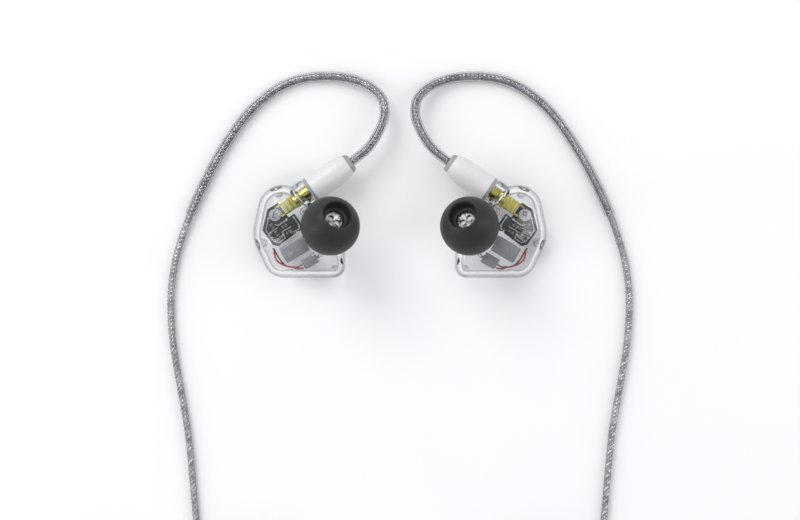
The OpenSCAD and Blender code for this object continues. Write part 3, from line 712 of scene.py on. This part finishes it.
front = closed_loft("front", dome_loft(0, SEAM_Z, 0) + [
    nozzle_ring(r, along) for r, along in (
        (2.62, 2.95), (2.38, 3.2), (2.15, 3.5), (1.98, 3.85), (1.86, 4.25), (1.8, 4.8),
        (1.8, 7.0), (1.8, 10.0), (1.93, 10.06), (1.95, 10.12), (1.95, 10.5), (1.9, 10.58),
        (1.8, 10.6), (1.2, 10.6), (0.5, 10.6),
    )
])
front = cut(front, closed_loft("hollow", dome_loft(SHELL_WALL, SEAM_Z - 1, SHELL_WALL)))
for shift in (-BORE_SHIFT, BORE_SHIFT):
    bore = turned(
        "bore", [(BORE_R, 0.5), (BORE_R, 10.35), (BORE_R + 0.12, 11)],
        NOZZLE_ROOT + NOZZLE_ACROSS * shift, NOZZLE_WAY, 40,
    )
    front = cut(front, bore)
collar = turned(
    "collar", [(2.85, -7.1), (3.0, -7.04), (3.05, -6.9), (3.05, -4.6)],
    SOCKET_MIDDLE, SOCKET_WAY,
)
front = cut(front, collar, "UNION")
barrel_way = turned("barrel_way", [(1.66, -7.4), (1.66, -4.0)], SOCKET_MIDDLE, SOCKET_WAY)
front = cut(front, barrel_way)
parts = [front]
for x, y, top in POSTS:
    height = top - SEAM_Z - POST_FOOT
    parts.append(turned("post", [
        (0.62, 0), (POST_R, 0), (POST_R, height - 0.25), (POST_R - 0.25, height),
        (0.35, height), (0.3, height - 0.1), (0.3, 1.2), (0.62, 1.0), (0.62, 0),
    ], (x, y, SEAM_Z + POST_FOOT), (0, 0, 1), 40))
front = joined("front", parts)
both_sides(front, "clear_front_shell", "{side}_earpiece", CLEAR_SHELL,
           ["shell_front"], 30)

back_outer = [
    outline_ring(inset, z) for inset, z in (
        (1.25, 0), (1.0, 0.02), (0.75, 0.1), (0.5, 0.24), (0.3, 0.45), (0.15, 0.75),
        (0.05, 1.1), (0, 1.5), (0, 2.2), (0.08, 2.28), (0.12, 2.3),
    )
]
back_inner = [
    outline_ring(SHELL_WALL + inset, z) for inset, z in (
        (1.1, 1.0), (0.7, 1.03), (0.35, 1.15), (0.12, 1.4), (0, 1.75), (0, 3.0),
    )
]
back = cut(closed_loft("back", back_outer), closed_loft("back_hollow", back_inner))
lip = closed_loft("lip", [
    outline_ring(0.62, 2.25), outline_ring(0.62, 2.95), outline_ring(0.66, 3.0),
    outline_ring(0.96, 3.0), outline_ring(1.0, 2.95), outline_ring(1.0, 2.25),
    outline_ring(0.62, 2.25),
])
parts = [back, lip]
for x, y, top in POSTS:
    parts.append(turned(
        "pin", [(0.95, 0.95), (0.7, 1.15), (0.55, 1.5), (0.55, 4.25), (0.45, 4.35)],
        (x, y, 0), (0, 0, 1), 32,
    ))
back = joined("back", parts)
both_sides(back, "clear_back_shell", "{side}_earpiece", CLEAR_SHELL,
           ["shell_back"], 30)

# ---- Connector hoods ----
# Bullet-shaped mouldings over the plugs, in satin pale-grey plastic, with a chamfered band at
# each end, coloured darker grey as painted shade on its sloped face. They stay on the cable when
# an earpiece is pulled off.
HOOD_START = SOCKET_MIDDLE - SOCKET_WAY * 7.25
POINTS_ROUND_HOOD = 96
hood_profile = smooth_profile([(3.05, 0.75), (3.05, 3.6), (3.05, 6.4)], 3) + smooth_profile(
    [(3.05, 6.6), (2.98, 7.5), (2.82, 8.6), (2.6, 9.5), (2.36, 10.2)], 4
)
HOOD_GREY = grained(
    "satin_pale_grey_plastic", (0.70, 0.70, 0.703), (0.66, 0.66, 0.667), (0.34, 0.44), 1400,
    0.10, Coat_Weight=0.12, Coat_Roughness=0.3,
)
# Painted shade: the chamfered bands are the hood's own plastic, coloured darker for the shade on
# their sloped faces.
CHAMFER_PAINTED_SHADE_GREY = grained(
    "chamfer_band_painted_shade_grey_plastic", (0.34, 0.34, 0.35), (0.29, 0.29, 0.30), (0.38, 0.5), 1400,
    0.08,
)
hood_body = turned(
    "hood",
    [(2.0, 0.7), (3.0, 0.7)] + hood_profile + [(2.3, 10.3), (1.5, 10.3), (1.5, 9.0)],
    HOOD_START, -SOCKET_WAY, POINTS_ROUND_HOOD,
)
both_sides(hood_body, "pale_grey_hood", "cable_set", HOOD_GREY,
           ["connector_hood"])
near_band = turned(
    "near_band",
    [(1.75, 0), (2.7, 0), (2.8, 0.03), (3.0, 0.3), (3.04, 0.42), (3.05, 0.7), (1.75, 0.7),
     (1.75, 0)],
    HOOD_START, -SOCKET_WAY, POINTS_ROUND_HOOD,
)
far_band = turned(
    "far_band",
    [(1.2, 10.32), (2.31, 10.32), (2.28, 10.45), (1.9, 11.1), (1.78, 11.26), (1.7, 11.3),
     (1.2, 11.3), (1.16, 11.2), (1.16, 10.4), (1.2, 10.32)],
    HOOD_START, -SOCKET_WAY, POINTS_ROUND_HOOD,
)
bands = joined("bands", [near_band, far_band])
both_sides(bands, "hood_chamfer_bands_painted_shade", "cable_set", CHAMFER_PAINTED_SHADE_GREY,
           ["connector_hood"])

# ---- Ear hook sleeves ----
# Clear heat-shrink tube, heat-formed into the hook that goes over the ear. It grips
# the cable from the hood to just past the widest part of the hook.
SLEEVE_R = 1.1
SLEEVE_BORE_R = 0.86
SLEEVE_MOUTH_R = 0.92
# The grey and 0.3 are the painted rim shade and the facing where it begins.
SLEEVE_CLEAR = clear_material(
    "clear_heat_shrink", (0.87, 0.88, 0.895), (0.80, 0.81, 0.825), (0.08, 0.16), 150,
    (0.17, 0.175, 0.185), 0.3, (0.8, 0.8, 0.81), 1.3,
)


def tube_rings(line, r, steps=24):
    """Circles square to a line, one at each of its points."""
    rings = []
    up = Vector((0, 0, 1))
    for i, p in enumerate(line):
        way = (line[min(i + 1, len(line) - 1)] - line[max(i - 1, 0)]).normalized()
        side = way.cross(up).normalized()
        top = side.cross(way)
        rings.append([
            p + r * (side * math.cos(2 * math.pi * k / steps)
                     + top * math.sin(2 * math.pi * k / steps))
            for k in range(steps)
        ])
    return rings


route = in_metres(BRANCH_ROUTE)
whole = smooth_line(route[:19], BRANCH_STEP)
first = min(range(len(whole)), key=lambda i: (whole[i] - route[1]).length)
last = min(range(len(whole)), key=lambda i: (whole[i] - route[17]).length)
sleeve_line = [p / MM for p in whole[first:last + 1]]
outer = tube_rings(sleeve_line, SLEEVE_R)
mouth = tube_rings(sleeve_line, SLEEVE_MOUTH_R)[-1]
inner = tube_rings(sleeve_line, SLEEVE_BORE_R)
sleeve = closed_loft("sleeve", outer + [mouth] + list(reversed(inner)) + [outer[0]])
both_sides(sleeve, "clear_hook_sleeve", "cable_set", SLEEVE_CLEAR,
           ["ear_hook_sleeve"], 60, from_ear=False)

# ---- Ear tips ----
# One soft flange of charcoal silicone on a short core tube that grips the nozzle. The
# flange is a ball from the mouth to its skirt, open at the back, and moulded matte.
TIP_MIDDLE = NOZZLE_ROOT + NOZZLE_WAY * 7.7
TIP_R = 6.4
TIP_WALL = 0.7


def arc(r, start, end, count):
    """Profile points on a circle, between two angles in degrees."""
    return [
        (r * math.cos(math.radians(start + (end - start) * k / count)),
         r * math.sin(math.radians(start + (end - start) * k / count)))
        for k in range(count + 1)
    ]


SILICONE = grained(
    "charcoal_silicone", (0.016, 0.017, 0.0185), (0.012, 0.013, 0.0145), (0.44, 0.56), 1600, 0.12,
    Sheen_Weight=0.03, Sheen_Roughness=0.5, Specular_IOR_Level=0.35,
)
tip_outside = arc(TIP_R, -31, 57.5, 46)
tip = turned(
    "tip",
    tip_outside
    + [(3.36, 5.44), (3.24, 5.46), (3.14, 5.4), (3.08, 5.25)]
    + [(3.02, 4.95), (2.96, 4.4), (2.88, 3.8), (2.7, 3.4), (2.4, 3.22), (2.12, 3.2)]
    + [(2.08, 3.1), (2.08, -3.2), (2.15, -3.27), (2.8, -3.27), (2.86, -3.2), (2.86, 3.0)]
    + [(3.05, 3.55), (3.5, 4.1)]
    + arc(TIP_R - TIP_WALL, 46, -28, 36)
    + [(5.1, -3.0), (5.25, -3.28), (5.4, -3.36), tip_outside[0]],
    TIP_MIDDLE, NOZZLE_WAY, 128,
)
both_sides(tip, "silicone_ear_tip", "{side}_tip", SILICONE, ["ear_tip"], 50)

# ---- Circuit boards ----
# A thin crossover board under black solder mask, with a printed grey disc that carries
# the side's letter, pale printed tracks and four small chips soldered on.
BOARD_UNDER, BOARD_TOP = 5.1, 5.9
PRINT_LOW, PRINT_TOP = BOARD_TOP - 0.02, BOARD_TOP + 0.018
PAD_R, PAD_TOP = 0.24, BOARD_TOP + 0.02
TRACK_WIDTH = 0.16
DISC_AT, DISC_R, DISC_TOP = 1.95, 1.32, BOARD_TOP + 0.09
MASK_BLACK = grained(
    "black_solder_mask", (0.014, 0.016, 0.018), (0.009, 0.0105, 0.012), (0.45, 0.6), 2600, 0.1,
    Specular_IOR_Level=0.3,
)
PRINT_SILVER = grained(
    "printed_silver_ink", (0.44, 0.445, 0.45), (0.33, 0.335, 0.34), (0.4, 0.55), 5200, 0.2,
    Metallic=0.25,
)
DISC_GREY = grained(
    "printed_grey_disc", (0.32, 0.32, 0.335), (0.28, 0.28, 0.295), (0.45, 0.6), 4200, 0.1
)
LETTER_BLACK = grained(
    "printed_black_letter", (0.016, 0.016, 0.018), (0.024, 0.024, 0.026), (0.4, 0.55), 4200,
    0.05,
)
CHIP_BODY = grained(
    "ceramic_chip", (0.05, 0.045, 0.042), (0.035, 0.032, 0.03), (0.35, 0.5), 5000, 0.2
)
SOLDER = grained(
    "dull_solder", (0.30, 0.30, 0.31), (0.22, 0.22, 0.235), (0.32, 0.48), 4200, 0.2,
    Metallic=1.0,
)


def on_board(s, t, z):
    """A point s along the socket's axis, t across it and z up."""
    return SOCKET_MIDDLE + SOCKET_WAY * s + SOCKET_ACROSS * t + Vector((0, 0, z - SOCKET_AXIS_Z))


def slab(name, outline, low, high, edge=0.06):
    """A flat plate from (s, t) corners on the board, with a small bevel round the top."""
    bm = bmesh.new()
    base = [bm.verts.new(on_board(s, t, low) * MM) for s, t in outline]
    face = bm.faces.new(base)
    made = bmesh.ops.extrude_face_region(bm, geom=[face])
    top = {v for v in made["geom"] if isinstance(v, bmesh.types.BMVert)}
    bmesh.ops.translate(bm, verts=list(top), vec=(0, 0, (high - low) * MM))
    bmesh.ops.recalc_face_normals(bm, faces=bm.faces)
    if edge:
        rim = [e for e in bm.edges if all(v in top for v in e.verts)]
        bmesh.ops.bevel(
            bm, geom=rim, offset=edge * MM, segments=2, profile=0.5, affect="EDGES"
        )
    return placed(name, mesh_from(name, bm))


def round_outline(s, t, r, count):
    return [
        (s + r * math.cos(2 * math.pi * k / count), t + r * math.sin(2 * math.pi * k / count))
        for k in range(count)
    ]


def bar(a, b, width):
    """Corners of a straight printed line from a to b."""
    way = (Vector(b) - Vector(a)).normalized() * width / 2
    n = Vector((-way.y, way.x))
    a, b = Vector(a) - way, Vector(b) + way
    return [tuple(a - n), tuple(b - n), tuple(b + n), tuple(a + n)]


board = slab(
    "board",
    [(-0.1, 1.9), (2.6, 1.9), (6.05, -1.2), (6.05, -5.1), (5.15, -6.0), (-1.55, -6.0),
     (-1.55, -2.2), (-0.1, -2.2)],
    BOARD_UNDER, BOARD_TOP, 0.08,
)
both_sides(board, "black_board", "{side}_earpiece", MASK_BLACK,
           ["circuit_board"])

tracks = []
for path, width in (
    ([(3.55, 0.2), (4.6, -0.8), (5.5, -1.6), (5.5, -3.0)], TRACK_WIDTH),
    ([(-1.0, -2.8), (-1.0, -5.5), (0.2, -5.5)], TRACK_WIDTH),
    ([(0.5, -2.3), (2.6, -2.3), (3.2, -1.7)], TRACK_WIDTH * 1.25),
    ([(0.5, -4.05), (2.9, -4.05)], TRACK_WIDTH),
    ([(3.1, -2.65), (5.0, -2.65)], TRACK_WIDTH),
    ([(2.9, -4.6), (2.9, -5.5), (4.6, -5.5), (5.4, -4.7), (5.4, -3.7)], TRACK_WIDTH),
):
    for a, b in zip(path, path[1:]):
        tracks.append(slab("track", bar(a, b, width), PRINT_LOW, PRINT_TOP, 0))
for s, t in ((3.55, 0.2), (5.5, -3.0), (-1.0, -2.8), (0.2, -5.5), (2.9, -4.6), (5.4, -3.7),
             (0.5, -2.3), (5.0, -2.65)):
    tracks.append(slab("pad", round_outline(s, t, PAD_R, 20), PRINT_LOW, PAD_TOP, 0))
for k in range(5):
    s = 3.35 + 0.42 * k
    tracks.append(slab("comb", bar((s, -4.95), (s, -4.55), 0.17), PRINT_LOW, PRINT_TOP, 0))
both_sides(joined("tracks", tracks), "printed_tracks", "{side}_earpiece",
           PRINT_SILVER, ["circuit_board"])

CHIPS = (((3.9, -1.7), (0, 1)), ((3.9, -3.6), (0, 1)), ((1.6, -3.2), (1, 0)),
         ((1.6, -4.9), (1, 0)))
CHIP_HALF_WIDTH = 0.35


def chip_part(name, chip, low, high, half_width, height):
    """The stretch of a chip from low to high along it."""
    middle, way = Vector(chip[0]), Vector(chip[1])
    across = Vector((-way.y, way.x)) * half_width
    a, b = middle + way * low, middle + way * high
    return slab(
        name, [tuple(a - across), tuple(b - across), tuple(b + across), tuple(a + across)],
        BOARD_TOP, BOARD_TOP + height, 0.05,
    )


bodies_of_chips, caps_of_chips = [], []
for chip in CHIPS:
    bodies_of_chips.append(chip_part("chip", chip, -0.36, 0.36, CHIP_HALF_WIDTH - 0.02, 0.47))
    for low, high in ((-0.6, -0.38), (0.38, 0.6)):
        caps_of_chips.append(chip_part("cap", chip, low, high, CHIP_HALF_WIDTH, 0.5))
both_sides(joined("chips", bodies_of_chips), "ceramic_chips", "{side}_earpiece",
           CHIP_BODY, ["board_components"])
both_sides(joined("caps", caps_of_chips), "soldered_chip_ends", "{side}_earpiece",
           SOLDER, ["board_components"])

disc = slab("disc", round_outline(DISC_AT, 0, DISC_R, 64), BOARD_TOP, DISC_TOP, 0.03)
both_sides(disc, "grey_side_disc", "{side}_earpiece", DISC_GREY, ["side_label"])
LETTER_LEAN = math.radians(-14)
LETTER_STROKE_WIDTH = 0.2
LETTER_STROKES = {
    "left": [[(-0.35, 0.62), (-0.35, -0.6), (0.42, -0.6)]],
    "right": [
        [(-0.38, -0.62), (-0.38, 0.6), (0.15, 0.6), (0.36, 0.45), (0.4, 0.3), (0.36, 0.12),
         (0.15, -0.02), (-0.38, -0.02)],
        [(0.02, -0.02), (0.42, -0.62)],
    ],
}
for side, strokes in LETTER_STROKES.items():
    pieces = []
    for stroke in strokes:
        for a, b in zip(stroke, stroke[1:]):
            corners = []
            for x, y in bar(a, b, LETTER_STROKE_WIDTH):
                px = x * math.cos(LETTER_LEAN) - y * math.sin(LETTER_LEAN)
                py = x * math.sin(LETTER_LEAN) + y * math.cos(LETTER_LEAN)
                local = Vector((px * SIDES[side], py, 0))
                corners.append((local.dot(SOCKET_WAY) + DISC_AT, local.dot(SOCKET_ACROSS)))
            pieces.append(slab("stroke", corners, DISC_TOP - 0.01, DISC_TOP + 0.009, 0))
    letter = joined("letter", pieces)
    copy = moved_to_side(letter, side, f"{side}_side_letter")
    copy.data.materials.append(LETTER_BLACK)
    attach(copy, f"{side}_earpiece")
    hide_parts(f"{side}_side_label")
    bpy.data.objects.remove(letter)

# ---- Cable sockets ----
# A gold-plated snap-in socket: a turned barrel held in the clear collar, a square block
# behind it and two solder legs that lie on the board. White plastic holds the contact.
GOLD = grained(
    "gold_plating", (0.56, 0.50, 0.13), (0.40, 0.36, 0.085), (0.16, 0.3), 2600, 0.12,
    Metallic=1.0,
)
BLOCK_HALF, INNER_BLOCK_HALF, LEG_HALF = 1.45, 1.25, 0.22
barrel = turned("barrel", [
    (1.28, -7.0), (1.5, -7.0), (1.6, -6.9), (1.6, -5.6), (1.48, -5.5), (1.48, -5.1),
    (1.6, -5.0), (1.6, -4.5), (1.48, -4.4), (1.48, -4.0), (1.6, -3.9), (1.6, -3.25),
    (1.2, -3.25), (1.2, -6.9), (1.28, -7.0),
], SOCKET_MIDDLE, SOCKET_WAY, 64)


def board_block(name, s0, s1, t0, t1, z0, z1, edge):
    """A block on the board between two distances along, across and up."""
    return slab(name, [(s0, t0), (s1, t0), (s1, t1), (s0, t1)], z0, z1, edge)


socket_parts = [
    barrel,
    board_block("block", -2.6, -0.4, -INNER_BLOCK_HALF, INNER_BLOCK_HALF, 4.2, 6.8, 0.05),
]
for start, end in ((-3.3, -2.5), (-2.4, -1.2), (-1.1, -0.3)):
    socket_parts.append(
        board_block("block", start, end, -BLOCK_HALF, BLOCK_HALF, 4.05, 6.95, 0.15)
    )
for t in (-1.15, 1.15):
    socket_parts.append(
        board_block("leg", -0.5, 1.0, t - LEG_HALF, t + LEG_HALF, 5.92, 6.25, 0.08)
    )
both_sides(joined("socket", socket_parts), "gold_snap_socket", "{side}_earpiece",
           GOLD, ["cable_socket"])

# ---- Inserts, contacts and snap rings ----
# White moulded inserts hold the gold-plated contacts in the sockets and plugs, and a ring
# of spring steel on each plug snaps into its socket. They are turned parts, whose CAD
# shape is already right.
WHITE_INSERT = grained(
    "white_moulded_insert", (0.78, 0.78, 0.75), (0.72, 0.72, 0.69), (0.4, 0.52), 2600, 0.1
)
STEEL = grained(
    "bright_spring_steel", (0.62, 0.62, 0.64), (0.5, 0.5, 0.52), (0.18, 0.3), 3600, 0.15,
    Metallic=1.0,
)


def finish_node(node, material):
    """Gives a carried-over CAD node its material."""
    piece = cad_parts[node]
    for holder in piece.material_slots:
        holder.material = material
    if not piece.material_slots:
        piece.data.materials.append(material)


for side in SIDES:
    finish_node(f"{side}_socket_insulator", WHITE_INSERT)
    finish_node(f"{side}_plug_insulator", WHITE_INSERT)
    for name in ("socket_contact", "plug_pin", "plug_shell"):
        finish_node(f"{side}_{name}", GOLD)
    finish_node(f"{side}_snap_ring", STEEL)

# ---- Drivers ----
# Balanced-armature drivers in drawn, nickel-plated steel cans, one large and one small.
# A seam runs round the middle of each can, and its spout leads to a sound tube.
CAN_NICKEL = grained(
    "satin_nickel_can", (0.26, 0.26, 0.275), (0.20, 0.20, 0.215), (0.3, 0.42), 1900, 0.2,
    Metallic=0.65,
)
DRIVER_TURN = math.radians(-30)
DRIVER_FACES = Vector((math.cos(DRIVER_TURN), math.sin(DRIVER_TURN), 0))
DRIVER_ACROSS = Vector((-DRIVER_FACES.y, DRIVER_FACES.x, 0))
LID_SHARE, TRAY_SHARE = 0.56, 0.44
TRAY_NARROWER = 0.08


def rounded_box(name, middle, size, turn, edge):
    bm = bmesh.new()
    bmesh.ops.create_cube(bm, size=1.0)
    bmesh.ops.scale(bm, vec=Vector(size) * MM, verts=bm.verts)
    bmesh.ops.bevel(
        bm, geom=list(bm.edges), offset=edge * MM, segments=3, profile=0.5, affect="EDGES"
    )
    bmesh.ops.rotate(bm, verts=bm.verts, cent=(0, 0, 0), matrix=Matrix.Rotation(turn, 3, "Z"))
    bmesh.ops.translate(bm, verts=bm.verts, vec=Vector(middle) * MM)
    return placed(name, mesh_from(name, bm))


DRIVERS = {
    "large": ((0.85, -3.95, 5.5), (5.8, 3.6, 2.6), 0.28),
    "small": ((-2.5, -6.45, 5.5), (3.5, 2.4, 1.8), 0.22),
}
for which, (middle, size, edge) in DRIVERS.items():
    middle = Vector(middle)
    long, wide, high = size
    end = long / 2
    spout = turned("spout", [
        (0.2, end - 0.1), (0.42, end - 0.1), (0.35, end + 0.2), (0.35, end + 0.6),
        (0.24, end + 0.6), (0.2, end - 0.1),
    ], middle, -DRIVER_FACES, 32)
    lid = rounded_box(
        "lid", middle + Vector((0, 0, high * TRAY_SHARE / 2)),
        (long, wide, high * LID_SHARE), DRIVER_TURN, edge,
    )
    tray = rounded_box(
        "tray", middle - Vector((0, 0, high * LID_SHARE / 2)),
        (long - TRAY_NARROWER, wide - TRAY_NARROWER, high * TRAY_SHARE), DRIVER_TURN, edge,
    )
    parts = [spout, lid, tray]
    terminals_at = middle + DRIVER_FACES * (end - 0.02) + Vector((0, 0, high * 0.3))
    for shift in (-0.45, 0.0, 0.45):
        parts.append(turned(
            "terminal", [(0.16, 0), (0.14, 0.05), (0.05, 0.08)],
            terminals_at + DRIVER_ACROSS * shift * wide / 2.6, DRIVER_FACES, 20,
        ))
    both_sides(joined("driver", parts), f"nickel_{which}_driver", "{side}_earpiece",
               CAN_NICKEL, [f"{which}_driver"], 40)

# ---- Sound tubes and dampers ----
# Soft clear tubes lead the sound from each spout up into the nozzle's two bores. A white
# plug of fine damping mesh is pushed into each bore and stands over the tube's end.
# The grey and 0.5 are the painted rim shade and the facing where it begins.
CLEAR_TUBE = clear_material(
    "clear_silicone_tube", (0.93, 0.94, 0.95), (0.88, 0.89, 0.91), (0.08, 0.16), 100,
    (0.3, 0.31, 0.32), 0.5, (0.93, 0.93, 0.94), 1.32,
)
DAMPER_MESH = grained(
    "fine_damper_mesh", (0.93, 0.93, 0.93), (0.86, 0.86, 0.87), (0.3, 0.45), 9000, 0.3
)
for side in SIDES:
    finish_node(f"{side}_sound_tubes", CLEAR_TUBE)
    finish_node(f"{side}_sound_dampers", DAMPER_MESH)

# ---- Driver wires ----
# Two fine enamelled wires, red and brown, soldered to the board's lower corner and led
# round the large driver to the small one, crossing on the way as a twisted pair does.
RED_ENAMEL = grained(
    "red_enamelled_wire", (0.36, 0.012, 0.018), (0.28, 0.008, 0.012), (0.2, 0.32), 3600, 0.1,
    Coat_Weight=0.5, Coat_Roughness=0.1,
)
BROWN_ENAMEL = grained(
    "brown_enamelled_wire", (0.085, 0.028, 0.018), (0.06, 0.02, 0.014), (0.2, 0.32), 3600, 0.1,
    Coat_Weight=0.5, Coat_Roughness=0.1,
)
WIRE_R = 0.19
WIRE_SWAY, WIRE_CROSSINGS = 0.26, 2.2
WIRE_ROUTE = [(5.45, -3.9), (4.45, -6.1), (2.45, -7.6), (0.45, -8.0), (-1.0, -7.6)]
for name, shift, rise, material in (
    ("red_wire", -0.25, 1.12, RED_ENAMEL), ("brown_wire", 0.25, 0.65, BROWN_ENAMEL),
):
    lean = math.copysign(WIRE_SWAY, shift)
    line = smooth_line([
        Vector((x + 0.5 * shift, y + shift, SOCKET_AXIS_Z + rise)) for x, y in WIRE_ROUTE
    ], 0.12)
    total = line_length(line)
    walked = 0.0
    twisted = []
    for i, p in enumerate(line):
        if i:
            walked += (p - line[i - 1]).length
        share = walked / total
        way = (line[min(i + 1, len(line) - 1)] - line[max(i - 1, 0)]).normalized()
        across = way.cross(Vector((0, 0, 1)))
        twisted.append(p + across * lean * math.sin(math.pi * WIRE_CROSSINGS * share))
    wire = closed_loft("wire", tube_rings(twisted, WIRE_R, 16))
    both_sides(wire, name + "_lead", "{side}_earpiece", material, [name], 60)

# ---- Y-split and chin slider ----
# Two-part satin mouldings on the cable: the Y-split, where the branches become one, and
# the slider above it, which slips along both branches to take up slack under the chin.
for name in ("y_split", "chin_slider"):
    finish_node(name, HOOD_GREY)

# ---- Cable ties ----
# Bands of black hook-and-loop tape round the stored coils, a narrow one on each branch
# and a wide one on the trunk. Each is wrapped on itself and peels open by hand.
TIE_BLACK = grained(
    "black_hook_and_loop", (0.02, 0.02, 0.022), (0.035, 0.035, 0.038), (0.75, 0.95), 6000, 0.6,
    Sheen_Weight=0.3, Sheen_Roughness=0.6,
)
finish_node("cable_ties", TIE_BLACK)

# ---- Stereo plug ----
# A straight 3.5 mm plug: a rubber strain relief moulded on the cable, a satin handle and
# three gold-plated contacts, turned in brass, with black bands between them.
RELIEF_RUBBER = grained(
    "grey_relief_rubber", (0.42, 0.42, 0.43), (0.36, 0.36, 0.37), (0.55, 0.7), 1800, 0.2
)
BLACK_BAND = grained(
    "black_band_plastic", (0.02, 0.02, 0.021), (0.03, 0.03, 0.031), (0.35, 0.5), 2400, 0.1
)
PLUG_GOLD = grained(
    "plug_gold_plating", (0.86, 0.66, 0.28), (0.76, 0.57, 0.22), (0.12, 0.24), 2200, 0.08,
    Metallic=1.0,
)
finish_node("jack_relief", RELIEF_RUBBER)
finish_node("jack_handle", HOOD_GREY)
finish_node("jack_insulators", BLACK_BAND)
for name in ("jack_sleeve", "jack_ring", "jack_tip"):
    finish_node(name, PLUG_GOLD)

# ---- Table, light and world ----
# A pale table top that the pair lies on, a broad soft lamp above it and two long side
# lamps that draw the highlights on the clear shells. They aren't part of the object.
TABLE_REACH = 3.0
TABLE_DROP = 0.00005
SKY, SKY_STRENGTH = (0.95, 0.97, 1.0, 1), 0.74
table_mesh = bpy.data.meshes.new("table")
table_mesh.from_pydata([
    (x * TABLE_REACH, y * TABLE_REACH, -TABLE_DROP)
    for x, y in ((-1, -1), (1, -1), (1, 1), (-1, 1))
], [], [(0, 1, 2, 3)])
table_mesh.materials.append(
    grained("pale_table", (0.90, 0.90, 0.90), (0.885, 0.885, 0.89), (0.6, 0.7), 40, 0.02)
)
placed("table", table_mesh)


def soft_lamp(name, at, size, power):
    light = bpy.data.lights.new(name, "AREA")
    light.shape = "RECTANGLE"
    light.size, light.size_y = size
    light.energy = power
    lamp = placed(name, light)
    lamp.location = at
    aim = CAMERA_LOOKS_AT - Vector(at)
    lamp.rotation_mode = "QUATERNION"
    lamp.rotation_quaternion = aim.to_track_quat("-Z", "Y")


soft_lamp("top_lamp", (-0.38, 0.55, 0.62), (0.45, 0.45), 3.1)
soft_lamp("left_lamp", (-0.6, -0.1, 0.35), (0.15, 0.6), 1.0)
soft_lamp("right_lamp", (0.6, 0.1, 0.35), (0.15, 0.6), 1.0)
world = bpy.data.worlds.new("studio")
world.use_nodes = True
sky = world.node_tree.nodes["Background"]
sky.inputs["Color"].default_value = SKY
sky.inputs["Strength"].default_value = SKY_STRENGTH
bpy.context.scene.world = world
bpy.context.scene.view_settings.view_transform = "Standard"
